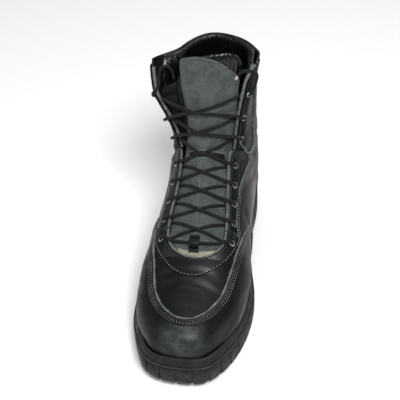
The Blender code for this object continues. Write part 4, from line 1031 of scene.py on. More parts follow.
def addUpper():
    bend = throatRadius * (1 - np.cos(np.linspace(0, 1, upperMesh["bendRows"] + 1) * math.pi / 2))
    rows = np.concatenate([
        np.linspace(0, throatStart, upperMesh["toeRows"] + 1)[:-1],
        placeOf(bend)[:-1],
        np.linspace(float(placeOf(throatRadius)), 1, upperMesh["shaftRows"] + 1),
    ])
    count = len(rows) - 1
    bm = bmesh.new()
    for side in (medial, lateral):
        full = fullLength(rows, side)
        edge = throatEdge(rows, side)
        past = np.maximum(0, topRun(rows) - throatRun)
        power = mix(3, 1, ease(past / (3 * throatRadius)))

        def shape(u, v):
            k = np.rint(v * count).astype(int)
            foot = full[k] - upperMesh["footBand"] * np.minimum(1, full[k] / 0.03)
            across = foot * u + edge[k] * (1 - u) ** power[k]
            across = np.where(u > 0.999, full[k], across)
            lift = -0.0004 * ease(1 - (across - edge[k]) / 0.0015) * (edge[k] > 0)
            return leather(rows[k], side * across, lift)

        addGrid(bm, upperMesh["columns"], count, shape)
    bmesh.ops.remove_doubles(bm, verts=bm.verts, dist=3e-5)
    bmesh.ops.dissolve_degenerate(bm, edges=bm.edges, dist=2e-5)
    bmesh.ops.recalc_face_normals(bm, faces=bm.faces)
    top = max(bm.faces, key=lambda f: f.calc_center_median().y)
    if top.normal.y < 0:
        bmesh.ops.reverse_faces(bm, faces=bm.faces)
    addPiece(bm, "upperSkin", upperLeather, "black_leather", "upper", wall=boot["wall"])


addUpper()
print("boot: upper made")


# Panels: strips of leather on the upper
panelShape = {"wall": 0.0008, "rawWidth": 0.0011, "rawGain": 1.6}


def panel(
    name, spots, wide, tall, thickness, material, slot="black_leather", nodes=(), edge=0.0012, raw=(), low=0.0004
):
    # spots gives places (t, across) for u across the strip and v along it; raw names the sides cut bare
    bm = bmesh.new()
    layer = bm.verts.layers.float.new("rawEdge")
    marks = np.linspace(0, 1, 61)
    left, middle, right = [skinPoint(*spots(marks * 0 + k, marks)) for k in (0, 0.5, 1)]
    length = float(runOf(middle)[-1])
    gap = np.linalg.norm(left - middle, axis=1) + np.linalg.norm(right - middle, axis=1)

    def shape(u, v):
        width = np.interp(v, marks, gap)
        t, across = spots(u, v)
        near = np.minimum(np.minimum(u, 1 - u) * width, np.minimum(v, 1 - v) * length)
        drop = 1 - rounded(near / edge)
        return leather(t, across, thickness * (1 - drop) - low * drop)

    made, flat = addGrid(bm, wide, tall, shape, None, lambda u, v: skinNormal(*spots(u, v)))
    for vert, (u, v) in zip(made, flat):
        width = float(np.interp(v, marks, gap))
        gaps = {"left": u * width, "right": (1 - u) * width, "start": v * length, "end": (1 - v) * length}
        bare = [panelShape["rawGain"] * (1 - gaps[word] / panelShape["rawWidth"]) for word in raw]
        vert[layer] = max([0.0] + [min(1.0, value) for value in bare])
    addPiece(bm, name, material, slot, *nodes, wall=panelShape["wall"])


def evenLine(rows, count=140):  # a sewn line as even steps along the leather: places (t, across)
    line = roundedLine(rows, 8)
    t, across = placeUp(line[:, 0]), line[:, 1] * throatRadius
    run = runOf(skinPoint(t, across))
    at = np.linspace(0, run[-1], count)
    return np.interp(at, run, t), np.interp(at, run, across)


def beside(line, starts, ends, waves=0.0):  # a strip from starts to ends beside a line, in metres
    t, across = line
    count = len(t)
    points = skinPoint(t, across)
    right = unit(np.cross(np.gradient(points, axis=0), skinNormal(t, across)))
    sway = 1 + waves * (np.sin(runOf(points) * 330) + 0.7 * np.sin(runOf(points) * 790 + 1))
    columns = []
    for share in np.linspace(0, 1, 7):
        reach = mix(np.broadcast_to(starts, (count,)), np.broadcast_to(ends, (count,)), share) * sway
        columns.append(march(t, across, right * np.sign(reach)[:, None], abs(reach)))
    tables = np.array(columns)

    def spots(u, v):
        x, y = u * 6, v * (count - 1)
        i, j = np.minimum(x.astype(int), 5), np.minimum(y.astype(int), count - 2)
        p, q = x - i, y - j
        return [
            mix(mix(table[i, j], table[i + 1, j], p), mix(table[i, j + 1], table[i + 1, j + 1], p), q)
            for table in (tables[:, 0], tables[:, 1])
        ]

    return spots


def between(inner, outer):  # the leather between two lines, matched from end to end
    def spots(u, v):
        marks = np.linspace(0, 1, len(inner[0]))
        return [mix(np.interp(v, marks, a), np.interp(v, marks, b), u) for a, b in zip(inner, outer)]

    return spots


def besideThroat(side, low, high, inner, outer):  # a strip beside the throat's edge
    def spots(u, v):
        t = placeOf(mix(low, high, v))
        return t, side * (throatEdge(t, side) + mix(inner, outer, u))

    return spots


def throatLine(reach, count=70):  # round the throat's bottom, from one side to the other
    ts = placeOf(reach * (1 - np.cos(np.linspace(0, 1, count) * math.pi / 2)))
    line = np.concatenate([-throatEdge(ts[::-1], lateral), throatEdge(ts[1:], medial)])
    t = np.concatenate([ts[::-1], ts[1:]])
    run = runOf(skinPoint(t, line))
    at = np.linspace(0, run[-1], 2 * count)
    return np.interp(at, run, t), np.interp(at, run, line)


# Stitches: each one a small grain of thread that stands on the leather
stitch = {"pitch": 0.0030, "length": 0.0021, "radius": 0.00036}


def stitches(name, lines, material, slot="black_leather", **changes):
    pitch, length, radius = {**stitch, **changes}.values()
    bm = bmesh.new()
    for points, normals in lines:
        run = runOf(points)
        for at in np.arange(pitch / 2, run[-1], pitch):
            z = unit(spotsAlong(normals, at))
            x = unit(spotsAlong(points, at + 0.0004) - spotsAlong(points, at - 0.0004))
            axes = np.column_stack([x * length / 2, np.cross(z, x) * radius, z * radius, spotsAlong(points, at)])
            turn = Matrix([*axes.tolist(), (0, 0, 0, 1)])
            bmesh.ops.create_icosphere(bm, subdivisions=1, radius=1, matrix=turn)
    addPiece(bm, name, material, slot, weld=1e-9)


def lineOn(spots, u, lift, low=0.0, high=1.0, count=240):
    v = np.linspace(low, high, count)
    t, across = spots(np.full(count, u), v)
    return leather(t, across, lift), skinNormal(t, across)


saddleTop = (lowerEyelets[0] + lowerEyelets[1]) / 2
ankleBreak = (lowerEyelets[-1] + upperEyelets[0]) / 2


def addSaddle():
    inner, outer = throatLine(saddleTop - 0.0004, 70), evenLine(saddleEdge)
    inner = beside(inner, 0.0009, 0.0009)(np.zeros(140), np.linspace(0, 1, 140))
    spots = between(inner, outer)
    panel("saddle", spots, 34, 130, boot["overlay"], panelLeather, nodes=["throat_saddle"], raw=("start", "end"))
    lines = [lineOn(spots, 0.93, boot["overlay"] + 0.0001, 0.01, 0.99)]
    stitches("saddleStitches", lines, paleThread, pitch=0.0038, length=0.0027, radius=0.00055)
    rim = throatLine(saddleTop, 70)
    panel("saddleEdge", beside(rim, -0.0010, 0.0013, 0.12), 6, 130, 0.0012, rawEdge, "grey_suede", edge=0.0010)
    lines = [lineOn(beside(rim, 0.0034, 0.0034), 0.5, boot["overlay"] + 0.0001, 0.01, 0.99)]
    stitches("saddleInnerStitches", lines, darkThread)


def addApron():
    line = evenLine(apron, 300)
    spots = beside(line, 0.0, 0.0074)
    panel("apronBand", spots, 14, 300, boot["overlay"], panelLeather, nodes=["apron_seam"])
    panel("apronEdge", beside(line, -0.0014, 0.0010, 0.24), 6, 300, 0.0015, rawEdge, "grey_suede", edge=0.0011)
    top = boot["overlay"] + 0.00005
    inner, outer = lineOn(spots, 0.33, top, 0, 1, 600), lineOn(spots, 0.86, top, 0, 1, 600)
    stitches("apronStitches", [inner, outer], paleThread)
    # the ladder of cross stitches between the two rows, over the toe
    rungs = []
    a, b = lineOn(spots, 0.46, top, 0.2, 0.8, 500), lineOn(spots, 0.78, top, 0.2, 0.8, 500)
    for share in np.arange(0.004, 0.996, 0.0031 / runOf(a[0])[-1]):
        ends = [spotsAlong(line, share * runOf(line)[-1]) for line in (a[0], b[0])]
        out = spotsAlong(a[1], share * runOf(a[0])[-1])
        rungs.append((np.array([ends[0], ends[1]]), np.array([out, out])))
    stitches("apronLadder", rungs, paleThread, pitch=0.0024, length=0.0026, radius=0.0003)


def addFacings():
    for side, word in sides:
        low, high = saddleTop + 0.0006, ankleBreak - 0.001
        spots = besideThroat(side, low, high, 0.0009, 0.015)
        nodes = ["facing_" + word]
        panel("facing_" + word, spots, 16, 80, boot["overlay"], panelLeather, nodes=nodes, raw=("start", "end"))
        front = 0.0009 if side == medial else -0.0019
        shaft = besideThroat(side, ankleBreak + 0.001, wholeThroat - 0.0025, front, 0.0155)
        nodes = ["shaft_facing_" + word]
        panel("shaftFacing_" + word, shaft, 16, 100, boot["overlay"], shaftLeather, nodes=nodes)
        lift = boot["overlay"] + 0.0001
        lines = [lineOn(where, u, lift, 0.02, 0.98) for where, u in ((spots, 0.2), (shaft, 0.24))]
        stitches("facingStitches_" + word, lines, darkThread)
        rim = besideThroat(side, low, high, -0.0011, 0.0014)
        panel("facingEdge_" + word, rim, 6, 90, 0.0013, rawEdge, "grey_suede", edge=0.0010)
        # the flap's lower corner, cut round and curled off the ankle
        turn = [(0.655, 1.32), (0.615, 1.44), (0.592, 1.72), (0.578, 2.05), (0.585, 2.40), (0.604, 2.66)]
        corner = beside(evenLine([(share, side * across) for share, across in turn], 60), -0.0011, 0.0011, 0.15)
        panel("flapCorner_" + word, corner, 6, 60, 0.0030, rawEdge, "grey_suede", edge=0.0010, low=0)


flapLap = {"medial": (0.0005, 0.0012), "lateral": (0.0007, 0.0031)}


def addFlapEdges():  # the flap's thick cut edge, rolled over so that its rough side shows
    for side, word in sides:
        front, back = flapLap[word]
        outside = [(front, 0.0004), (front * 0.8, 0.0019), (0.0, 0.0022), (-0.0013, 0.0012), (-0.0016, -0.0008)]
        if side == lateral:  # here the black outside laps the edge
            outside = [(-0.0006, 0.0002), (-0.0013, 0.0000), (-0.0017, -0.0009)]
        inside = [(-0.0010, -0.0026), (0.0012, -0.0036), (back * 0.7, -0.0040), (back, -0.0026)]
        profile = roundedLine(outside + inside, 4)
        low = 0.55 if side == medial else 1
        bm = bmesh.new()

        def shape(u, v):
            at = u * (len(profile) - 1)
            run = mix(ankleBreak + 0.001, wholeThroat - 0.0045, v)
            sway = 1 + 0.22 * np.sin(run * 300 + side) + 0.16 * np.sin(run * 710 + 2) + 0.1 * np.sin(run * 1300)
            taper = 0.1 + 0.9 * ease(v / 0.12) * ease((1 - v) / 0.1)
            beyondEdge = np.interp(at, np.arange(len(profile)), profile[:, 0]) * sway * taper
            lift = np.interp(at, np.arange(len(profile)), profile[:, 1]) * (0.85 + 0.15 * sway) * low
            t = placeOf(run)
            return leather(t, side * (throatEdge(t, side) + beyondEdge), lift)

        toward = leather(placeOf(0.16), 0.0, 0.01) - leather(placeOf(0.16), side * 0.04, 0.0)
        addGrid(bm, 22, 200, shape, None, lambda u, v: [toward])
        addPiece(bm, "flapEdge_" + word, rawEdge, "grey_suede", wall=0.0007)


addSaddle()
addApron()
addFacings()
addFlapEdges()
print("boot: saddle, apron band and facings made")


# Side seams: a narrow double-stitched strip down each side
def addSideStrips():
    for word, rows in (("medial", medialStrip), ("lateral", lateralStrip)):
        spots = beside(evenLine(rows, 160), -0.0024, 0.0024)
        panel("sideStrip_" + word, spots, 10, 160, 0.0016, panelLeather, raw=("left", "right"), low=0)
        lines = [lineOn(spots, u, 0.0017, 0.01, 0.99, 300) for u in (0.26, 0.74)]
        stitches("sideStitches_" + word, lines, paleThread, radius=0.00045)


# Heel counter and back strip
counterEdge = (
    ("counter", 1.0), ("seat", 0.905), ("turn", 0.845), ("heel", 0.80), ("ankle", 0.80), ("instep", 0.885),
    ("waist", 0.975),
)


def placeNamed(name):
    return float(places[column(sections, 0).index(name)])


def addCounter():
    rows = roundedLine([(placeNamed(name), part) for name, part in counterEdge], 8)
    marks = np.linspace(0, 1, len(rows))
    for side, word in sides:
        def spots(u, v):
            t, part = [np.interp(v, marks, rows[:, k]) for k in (0, 1)]
            full = fullLength(t, side)
            foot = full - 0.0030
            return t, side * mix(np.minimum(part * full, foot - 0.001), foot, u)

        panel("heelCounter_" + word, spots, 26, 110, 0.0016, panelLeather, edge=0.0016)
        lines = []
        for out in (0.0032, 0.0060):
            t, part = [np.interp(np.linspace(0.03, 0.9, 240), marks, rows[:, k]) for k in (0, 1)]
            across = side * (part * fullLength(t, side) + out)
            lines.append((leather(t, across, 0.0017), skinNormal(t, across)))
        stitches("counterStitches_" + word, lines, paleThread, radius=0.00032)


def addBackStrip():
    low, high = placeNamed("counter") - 0.01, 0.992

    def spots(u, v):
        t = mix(low, high, v)
        out = (u - 0.5) * 0.019
        return t, np.where(out >= 0, fullLength(t, medial) - out, -(fullLength(t, lateral) + out))

    panel("backStrip", spots, 20, 90, 0.0019, panelLeather)
    lines = [lineOn(spots, u, 0.0020, 0.02, 0.98, 200) for u in (0.1, 0.2, 0.8, 0.9)]
    stitches("backStitches", lines, paleThread, radius=0.00032)


addSideStrips()
addCounter()
addBackStrip()
print("boot: side strips, heel counter and back strip made")


# Collar lining, tongue and gusset
collarPad = {
    "depth": 0.0046, "start": 0.0105, "length": 0.052, "rise": 0.0022, "thickness": 0.0052, "wall": 0.0012,
    "pucker": 0.0010, "finePucker": 0.0006, "grid": (150, 60),
}


def uneven(a, b, scale):  # soft irregular folds, about scale apart along a
    bend = 1.9 * np.sin(b * 0.31 / scale + 1.3) + 1.6 * np.sin(a * 0.27 / scale + 0.5)
    bend += 1.1 * np.sin((a + b) * 0.61 / scale)
    swing = 0.55 + 0.45 * np.sin(a * 0.19 / scale + 2.1 * np.sin(b * 0.13 / scale))
    return np.sin(a * 2 * math.pi / scale + bend) * swing


def addCollarLining():
    low, high = wholeThroat - collarPad["length"], wholeThroat + collarPad["rise"]
    bm = bmesh.new()
    for side in (medial, lateral):
        def shape(u, v):
            run = mix(low, high, v)
            t = placeOf(np.minimum(run, wholeThroat))
            start = throatEdge(t, side) + collarPad["start"]
            across = mix(start, fullLength(t, side), u)
            # a rounded pad, thin at its top, bottom and front edges
            rim = np.minimum(np.minimum(v / 0.12, (1 - v) / 0.17), np.maximum(u / 0.07, 0))
            body = rounded(rim)
            loose = ease((0.99 - v) / 0.06) * ease((v - 0.76) / 0.16)
            back = fullLength(t, side) - across
            pucker = collarPad["pucker"] * uneven(back, run * 0.5, 0.0060)
            pucker = (pucker + collarPad["finePucker"] * uneven(back, run, 0.0031)) * loose
            lift = -collarPad["depth"] - collarPad["thickness"] * body + pucker * body
            return beyond(run, side * across, lift) + flare(t, side * across)

        grid = collarPad["grid"]
        addGrid(bm, *grid, shape, None, lambda u, v: insideOut(mix(low, high, v), side * (0.06 + 0 * u)))
    bmesh.ops.remove_doubles(bm, verts=bm.verts, dist=4e-5)
    piece = addPiece(bm, "collarLining", glossLining, "black_lining", "collar_lining", wall=collarPad["wall"])


addCollarLining()

# Outlines of the tongue and its lining: distance across in radii, then mm above the collar line
tongueTop = (
    (-1.30, -9.0), (-1.12, -4.2), (-0.98, 0.2), (-0.77, 2.8), (-0.22, 5.6), (0.11, 4.8), (0.43, 1.6),
    (0.95, -7.3), (1.32, -15.5), (1.52, -20.0),
)
liningTop = (
    (-1.2, -8.0), (-0.6, 1.0), (-0.2, 4.4), (0.25, 7.2), (0.79, 8.6), (1.12, 6.6), (1.47, 0.6), (1.75, -8.0),
)
suedeEdges = (
    (-0.10, 0.85, 0.85), (0.00, 1.18, 1.20), (0.38, 1.20, 1.24), (0.50, 1.20, 1.20), (0.62, 1.30, 1.14),
    (0.75, 1.40, 1.09), (0.90, 1.48, 1.08), (1.10, 1.50, 1.14),
)


tongueShape = {
    "grid": (90, 210), "wall": 0.0016, "seams": (0.055, 0.945, 0.62, 0.984), "middle": 0.455, "foot": -0.014,
    "pull": 0.0008, "wave": 0.0007, "fineWave": 0.0004, "rim": 0.0010, "bead": 0.0005, "curl": 0.0012,
    "crease": 0.0004,
}
liningShape = {"wall": 0.0036, "behind": 0.0046, "pad": 0.0020, "grid": (90, 110)}


def suedeEdge(run, side):
    return side * throatRadius * sideValue(suedeEdges, side, np.asarray(run) / wholeThroat)


def topOf(table, across):
    high = smooth(column(table, 0), column(table, 1), across / throatRadius)
    return wholeThroat + high / 1000


def addSheet(bm, spots, lift, wide, tall):  # a sheet over the last, with its pattern flat
    def shape(u, v):
        run, across = spots(u, v)
        return beyond(run, across, lift(u, v, run, across))

    def pattern(u, v):
        return np.stack(spots(u, v)[::-1], axis=1)

    addGrid(bm, wide, tall, shape, pattern, lambda u, v: -insideOut(*spots(u, v)))


def tonguePlaces(u, v):
    across = mix(suedeEdge(wholeThroat * v, lateral), suedeEdge(wholeThroat * v, medial), u)
    return mix(tongueShape["foot"], topOf(tongueTop, across), v), across


def tongueLift(u, v, run, across):
    pull = tongueShape["pull"] * np.exp(-((across / 0.012) ** 2)) * ease(run / 0.02)
    wave = tongueShape["wave"] * np.sin(run * 85 + across * 50)
    wave += tongueShape["fineWave"] * np.sin(across * 210 + run * 40)
    near = np.minimum(np.minimum(u, 1 - u) * 0.06, (1 - v) * 0.21)
    bead = tongueShape["bead"] * np.exp(-(((near - 0.0035) / 0.0008) ** 2))
    roll = tongueShape["rim"] * (1 - ease(near / 0.0016)) + bead
    roll += tongueShape["curl"] * (2 - ease(u * 6) - ease((1 - u) * 6))
    middle = tongueShape["crease"] * np.exp(-((abs(across + 0.0045) / 0.0006) ** 2)) * ease((0.075 - run) / 0.02)
    return -boot["tongueDepth"] + pull + wave * ease((run - 0.02) / 0.05) - roll - middle


def addTongue():
    bm = bmesh.new()
    addSheet(bm, tonguePlaces, tongueLift, *tongueShape["grid"])
    addPiece(bm, "tongueSuede", tongueSuede, "grey_suede", "tongue", wall=tongueShape["wall"])

    def lineAt(u, v):
        run, across = tonguePlaces(u, v)
        return beyond(run, across, tongueLift(u, v, run, across) + 0.0003), -insideOut(run, across)

    left, right, low, high = tongueShape["seams"]
    v, u = np.linspace(low, high, 120), np.linspace(left, right, 120)
    lines = [lineAt(left + 0 * v, v), lineAt(right + 0 * v, v), lineAt(u, high + 0 * u)]
    stitches("tongueStitches", lines, darkThread, radius=0.00032, slot="grey_suede")
    # the seam up the middle of its lower half
    v = np.linspace(0.09, 0.50, 160)
    middle = [lineAt(tongueShape["middle"] + 0 * v, v)]
    stitches("tongueSeam", middle, paleThread, slot="grey_suede", pitch=0.0026, length=0.0028, radius=0.0004)
    # the padded lining behind it
    bm = bmesh.new()

    def liningPlaces(u, v):
        across = mix(-1.16, mix(1.24, 1.72, ease((v - 0.4) / 0.5)), u) * throatRadius
        return mix(ankleBreak - 0.012, topOf(liningTop, across), v), across

    def puff(u, v, run, across):
        edge = np.minimum(np.minimum(u, 1 - u) / 0.10, np.minimum(v, 1 - v) / 0.06)
        body = rounded(edge)
        creased = 0.0005 * uneven(across, run * 0.6, 0.0062) + 0.0002 * uneven(across, run, 0.0033)
        raised = liningShape["pad"] * body + creased * body * ease((v - 0.6) / 0.2)
        return -boot["tongueDepth"] - liningShape["behind"] + raised

    addSheet(bm, liningPlaces, puff, *liningShape["grid"])
    piece = addPiece(bm, "tongueLining", glossLining, "black_lining", "tongue_lining", wall=liningShape["wall"])
    # the pale strip that joins it to the throat's bottom
    bm = bmesh.new()

    def crescent(u, v):
        across = mix(-0.80, 0.80, u) * throatRadius
        start = throatRadius * (1 - np.sqrt(1 - (across / throatRadius / 1.12) ** 2))
        return start - 0.002 + v * (0.0085 - 0.0030 * (2 * u - 1) ** 2), across

    addSheet(bm, crescent, lambda u, v, run, across: tongueLift(u, v * 0 + 0.5, run, across) + 0.0011, 60, 10)
    addPiece(bm, "tongueBase", creamEdge, "grey_suede", wall=0.0009)


gussetShape = {"wall": 0.0011, "fold": 0.0030, "sag": 0.004, "behind": 0.0028, "far": 0.0050}


def addGusset():
    bm = bmesh.new()

    def spots(u, v):
        run = mix(ankleBreak + 0.004, wholeThroat - mix(0.014, 0.026, u), v)
        t = placeOf(run)
        near, far = -suedeEdge(run, lateral) - 0.004, throatEdge(t, lateral) + 0.007
        return run, -mix(near, far, u)

    def shape(u, v):
        run, across = spots(u, v)
        fold = gussetShape["fold"] * np.sin(u * 12.5 + run * 60) * ease(u / 0.15) * ease((1 - u) / 0.15)
        lift = -mix(boot["tongueDepth"] + gussetShape["behind"], gussetShape["far"], ease(u))
        lift = lift - gussetShape["sag"] * np.sin(u * math.pi) + fold
        t = placeOf(run)
        out = flare(t, -(throatEdge(t, lateral) + 0.004)) * ease((u - 0.12) / 0.8)[:, None]
        return beyond(run, across, lift) + out

    addGrid(bm, 40, 80, shape, None, lambda u, v: -insideOut(*spots(u, v)))
    addPiece(bm, "gussetLeather", softLeather, "black_lining", "gusset", wall=gussetShape["wall"])


keeperShape = {"wall": 0.0011, "left": -0.0078, "right": 0.0022, "below": 0.006, "over": 0.0007}


def addKeeper():
    low, top = -boot["tongueDepth"] + 0.0010, lacing["inThroat"] + boot["laceRadius"] + keeperShape["over"]
    run = lowerEyelets[0] - keeperShape["below"]
    high = mix(low, top, 0.8)
    line = roundedLine([
        (-0.0098, low), (-0.0062, low), (-0.0034, high), (0.0, top), (0.0034, high), (0.0062, low), (0.0085, low),
    ], 6)
    bm = bmesh.new()

    def shape(u, v):
        at = v * (len(line) - 1)
        step, lift = [np.interp(at, np.arange(len(line)), line[:, k]) for k in (0, 1)]
        return beyond(run + step, mix(keeperShape["left"], keeperShape["right"], u), lift + 0.0008)

    addGrid(bm, 12, 40, shape, None, lambda u, v: -insideOut(run + 0 * u, 0 * u))
    addPiece(bm, "keeperStrap", softLeather, "black_leather", "lace_keeper", wall=keeperShape["wall"])


strapShape = {"wall": 0.0008, "left": -0.0180, "right": 0.0222, "low": 0.503, "high": 0.5385, "edge": 0.0008}


def addTongueStrap():  # a strap with bare edges, across the tongue at the ankle
    def shape(u, v):
        across = mix(strapShape["left"], strapShape["right"], u)
        run = wholeThroat * mix(strapShape["low"], strapShape["high"], v) + 0.0006 * np.sin(u * math.pi)
        return run, across, -boot["tongueDepth"] + 0.0011 + 0.0007 * np.sin(v * math.pi)

    bm = bmesh.new()
    addGrid(bm, 40, 10, lambda u, v: beyond(*shape(u, v)), None, lambda u, v: -insideOut(*shape(u, v)[:2]))
    addPiece(bm, "tongueStrap", softLeather, "black_leather", wall=strapShape["wall"])
    marks = np.linspace(0, 1, 60)
    for word, v in (("low", 0.02), ("high", 0.98)):
        run, across, lift = shape(marks, marks * 0 + v)
        edge = beyond(run, across, lift + 0.0003)
        tube("strapEdge_" + word, edge, strapShape["edge"], 6, rawEdge, "grey_suede")


addTongue()
addGusset()
addKeeper()
addTongueStrap()
print("boot: tongue, gusset and linings made")


# Eyelets: rolled rings of worn metal
eyeletRing = {"radius": 0.0025, "width": 0.0008, "height": 0.0006, "lift": 0.0004, "section": 8, "round": 22}


def addEyelets():
    bm = bmesh.new()
    nodes = []
    for side, word in sides:
        for row in range(1, 9):
            t, across = eyeletSpot(row, side)
            normal = skinNormal(t, across)
            u = unit(skinSlopes(t, across)[1])
            v = np.cross(normal, u)
            spot = leather(t, across, boot["overlay"] + eyeletRing["lift"])
            count = eyeletRing["section"]
            ring = bmesh.ops.create_circle(bm, cap_ends=False, segments=count, radius=1.0)["verts"]
            for vert in ring:
                x, y = vert.co.x, vert.co.y
                vert.co = (eyeletRing["radius"] + x * eyeletRing["width"], 0, y * eyeletRing["height"])
            edges = list(dict.fromkeys(e for vert in ring for e in vert.link_edges))
            bmesh.ops.spin(
                bm, geom=ring + edges, cent=(0, 0, 0), axis=(0, 0, 1), dvec=(0, 0, 0), angle=2 * math.pi,
                steps=eyeletRing["round"], use_merge=True, use_normal_flip=False, use_duplicate=False,
            )
            turned = [vert for vert in bm.verts if not vert.tag]
            place = Matrix([*np.column_stack([u, v, normal, spot]).tolist(), (0, 0, 0, 1)])
            bmesh.ops.transform(bm, matrix=place, verts=turned)
            for vert in bm.verts:
                vert.tag = True
            nodes.append(f"eyelet_{word}_{row}")
    bmesh.ops.remove_doubles(bm, verts=bm.verts, dist=1e-5)
    bmesh.ops.recalc_face_normals(bm, faces=bm.faces)
    addPiece(bm, "eyelets", eyeletMetal, "worn_metal", *nodes)


addEyelets()
print("boot: eyelets made")


# Sole
soleShape = {
    "around": 150, "lugDepth": 0.006, "grooveWidth": 0.0032, "grooveReach": 0.019, "ribDepth": 0.0009,
    "ribWidth": 0.0018, "below": -0.004, "outside": -0.006, "spineGap": 0.05, "rimGroove": 0.0042,
    "innerDepth": 0.8, "rimGap": 0.0182, "crossGap": 0.018, "outsoleAround": 110, "creaseAngle": 40,
}
randLip = {"inset": 0.0008, "share": 0.40, "radius": 0.00085, "spots": 160, "sides": 8}
# Each level moved in, its share of the way from the lower to the higher face, and up from there
midsoleLevels = (
    (0.0030, 0, 0.0003), (0.0016, 0, 0.0008), (0.0012, 0, 0.0018), (0.0013, 0.30, 0), (0.0004, 0.34, 0),
    (0.0003, 0.42, 0), (0.0018, 0.50, 0), (0.0016, 0.60, 0), (0.0018, 0.85, 0), (0.0026, 1, 0.0012),
    (0.0032, 1, 0.0027), (0.0040, 1, 0.0039), (0.0048, 1, 0.0048), (0.0059, 1, 0.0056), (0.0065, 1, 0.0054),
    (0.0065, 1, 0),
)
outsoleLevels = (
    (0.0028, 0, 0), (0.0012, 0, 0.0010), (0.0004, 0, 0.0028), (0.0, 0.62, 0), (0.0006, 1, -0.0014),
    (0.0014, 1, -0.0005), (0.0026, 1, 0),
)


def stepHeight(y):
    return heightAt(outsoleHeights, y)


def footHeight(y):
    return heightAt(floorHeights, y)


treadShape = {"spring": 0.0065, "springEnd": 0.17, "waist": 0.007, "heelRise": 0.004}


def treadHeight(y):  # toe spring, raised waist and the heel's worn back edge
    share = y / boot["length"] + 0.5
    spring = treadShape["spring"] * (1 - ease(share / treadShape["springEnd"])) ** 1.4
    waist = treadShape["waist"] * (ease((share - 0.5) / 0.07) - ease((share - 0.69) / 0.015))
    return spring + waist + treadShape["heelRise"] * ease((share - 0.93) / 0.07)


def soleLoft(bm, levels, low, high, count):  # sides as one wrapped grid, and two lids as grids across
    even = np.linspace(0, 1, count + 1)
    shares = 0.5 * even + 0.5 * (0.5 - 0.5 * np.cos(even * math.pi))
    rings = []
    for inset, share, lift in levels:
        right = rimSpots(medial, inset, shares)
        left = rimSpots(lateral, inset, shares)
        ring = np.vstack([right, left[-2::-1]])
        rings.append(np.column_stack([ring, mix(low(ring[:, 1]), high(ring[:, 1]), share) + lift]))
    rings = np.array(rings)

    def wall(u, v):
        i = np.rint(v * (len(levels) - 1)).astype(int)
        j = np.rint(u * 2 * count).astype(int)
        return rings[i, j]

    addGrid(bm, 2 * count, len(levels) - 1, wall)
    for k in (0, -1):
        def lid(u, v):
            j = np.rint(v * count).astype(int)
            return mix(rings[k, j], rings[k, 2 * count - j], u[:, None])

        addGrid(bm, 24, count, lid)
    bmesh.ops.remove_doubles(bm, verts=bm.verts, dist=2e-5)
    bmesh.ops.dissolve_degenerate(bm, edges=bm.edges, dist=1e-5)
    bmesh.ops.recalc_face_normals(bm, faces=bm.faces)


def addMidsole():
    bm = bmesh.new()
    soleLoft(bm, midsoleLevels, stepHeight, footHeight, soleShape["around"])
    addPiece(bm, "midsoleBand", randRubber, "black_rubber", "midsole")
    shares = np.linspace(0, 1, randLip["spots"])
    right, left = [rimSpots(side, randLip["inset"], shares) for side in (medial, lateral)]
    ring = np.vstack([right, left[-2::-1]])
    line = np.column_stack([ring, mix(stepHeight(ring[:, 1]), footHeight(ring[:, 1]), randLip["share"])])
    tube("randLip", roundedLine(line, 2), randLip["radius"], randLip["sides"], lipRubber, "black_rubber")


def towardSpine(side, share, reach):
    spot = rimSpots(side, 0, share)
    end = boot["length"] / 2 - soleShape["spineGap"]
    spine = np.array((centreX, np.clip(spot[1], -end, end)))
    way = unit(spine - spot)
    return spot, way, spot + way * reach


def addCutter(bm, middle, way, long, wide, low, high):  # an upright box that lies along way
    turn = Matrix.Rotation(math.atan2(way[1], way[0]), 4, "Z")
    place = Matrix.Translation((*middle, (low + high) / 2)) @ turn
    bmesh.ops.create_cube(bm, size=1, matrix=place @ Matrix.Diagonal((long, wide, high - low, 1)))


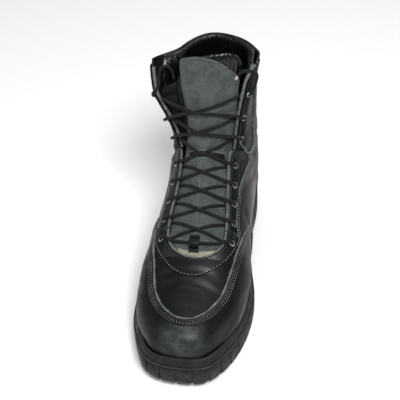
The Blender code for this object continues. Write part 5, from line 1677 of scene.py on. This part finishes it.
def addOutsole():
    bm = bmesh.new()
    soleLoft(bm, outsoleLevels, treadHeight, stepHeight, soleShape["outsoleAround"])
    piece = addPiece(bm, "outsoleTread", soleRubber, "black_rubber", "outsole")
    cutters = bmesh.new()
    below, outside, wide = soleShape["below"], soleShape["outside"], soleShape["grooveWidth"]
    shares = list(np.linspace(0.022, 0.47, 11)) + list(np.linspace(0.72, 0.955, 5))
    for side in (medial, lateral):
        for share in shares:
            spot, way, _ = towardSpine(side, share, 0)
            top = float(stepHeight(spot[1])) - 0.0015
            lug = float(treadHeight(spot[1])) + soleShape["lugDepth"]
            end, rib = soleShape["grooveReach"], soleShape["ribDepth"]
            addCutter(cutters, spot + way * (outside + end) / 2, way, end - outside, wide, below, lug)
            middle = spot + way * (outside + rib) / 2
            addCutter(cutters, middle, way, rib - outside, soleShape["ribWidth"], lug - 0.001, top)
    depth = soleShape["lugDepth"] * soleShape["innerDepth"]
    for share in (0.12, 0.19, 0.26, 0.33, 0.4, 0.47, 0.76, 0.83, 0.9):
        y = (share - 0.5) * boot["length"]
        ends = []
        for side in (medial, lateral):
            line = rim(side, 0)
            ends.append(line[np.argmin(abs(line[:, 1] - y)), 0] - side * soleShape["crossGap"])
        lug = float(treadHeight(y)) + depth
        addCutter(cutters, (sum(ends) / 2, y), (1, 0), ends[0] - ends[1], wide, below, lug)
    for side in (medial, lateral):
        for low, high, count in ((0.03, 0.475, 26), (0.715, 0.955, 14)):
            marks = [towardSpine(side, share, soleShape["rimGap"])[2] for share in np.linspace(low, high, count)]
            for a, b in zip(marks, marks[1:]):
                long = float(np.linalg.norm(b - a)) + 0.0012
                lug = float(treadHeight((a + b)[1] / 2)) + depth
                addCutter(cutters, (a + b) / 2, b - a, long, soleShape["rimGroove"], below, lug)
    tool = addObject("cutters", cutters)
    modifier = piece.modifiers.new("cut", "BOOLEAN")
    modifier.operation, modifier.solver, modifier.object = "DIFFERENCE", "EXACT", tool
    modifier.use_self = True
    graph = bpy.context.evaluated_depsgraph_get()
    shaped = bpy.data.meshes.new_from_object(piece.evaluated_get(graph), depsgraph=graph)
    piece.modifiers.clear()
    piece.data = shaped
    shaped.set_sharp_from_angle(angle=math.radians(soleShape["creaseAngle"]))
    bpy.data.objects.remove(tool)


addMidsole()
addOutsole()
print("boot: sole made")

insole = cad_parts["insole"].data
insole.materials.clear()
insole.materials.append(insoleCloth)


# Floor, lights and the pale studio; each light has its spot, size and power
studio = {
    "floor": (0.77, 0.77, 0.77, 1), "floorSize": 3.0, "floorLow": -0.0002, "aim": (0, 0, 0.1), "sky": 0.23,
    "lights": {
        "overhead": ((0.1, 0.75, 1.6), (1.4, 0.8), 11),
        "toeKey": ((0.32, -0.62, 1.22), (0.50, 0.42), 22),
        "frontLeft": ((-1.2, -0.7, 1.0), (1.2, 0.9), 8),
        "frontRight": ((1.2, -0.3, 1.0), (0.8, 0.9), 0.8),
    },
}


def addFloor():
    bm = bmesh.new()
    bmesh.ops.create_grid(bm, x_segments=1, y_segments=1, size=studio["floorSize"])
    floor = addObject("floor", bm)
    made = bpy.data.materials.new("pale floor")
    made.use_nodes = True
    shader = made.node_tree.nodes["Principled BSDF"]
    shader.inputs["Base Color"].default_value = studio["floor"]
    shader.inputs["Roughness"].default_value = 0.9
    floor.data.materials.append(made)
    floor.location.z = studio["floorLow"]


def addLight(name, spot, size, power):
    lamp = bpy.data.lights.new(name, "AREA")
    lamp.shape = "RECTANGLE"
    lamp.size, lamp.size_y = size
    lamp.energy = power
    light = bpy.data.objects.new(name, lamp)
    bpy.context.scene.collection.objects.link(light)
    light.location = spot
    light.rotation_mode = "QUATERNION"
    light.rotation_quaternion = (Vector(spot) - Vector(studio["aim"])).to_track_quat("Z", "Y")


addFloor()
for name, (spot, size, power) in studio["lights"].items():
    addLight(name, spot, size, power)
world = bpy.data.worlds.new("studio")
bpy.context.scene.world = world
bpy.context.scene.view_settings.view_transform = "Standard"
world.use_nodes = True
sky = world.node_tree.nodes["Background"].inputs
sky["Color"].default_value, sky["Strength"].default_value = (1, 1, 1, 1), studio["sky"]
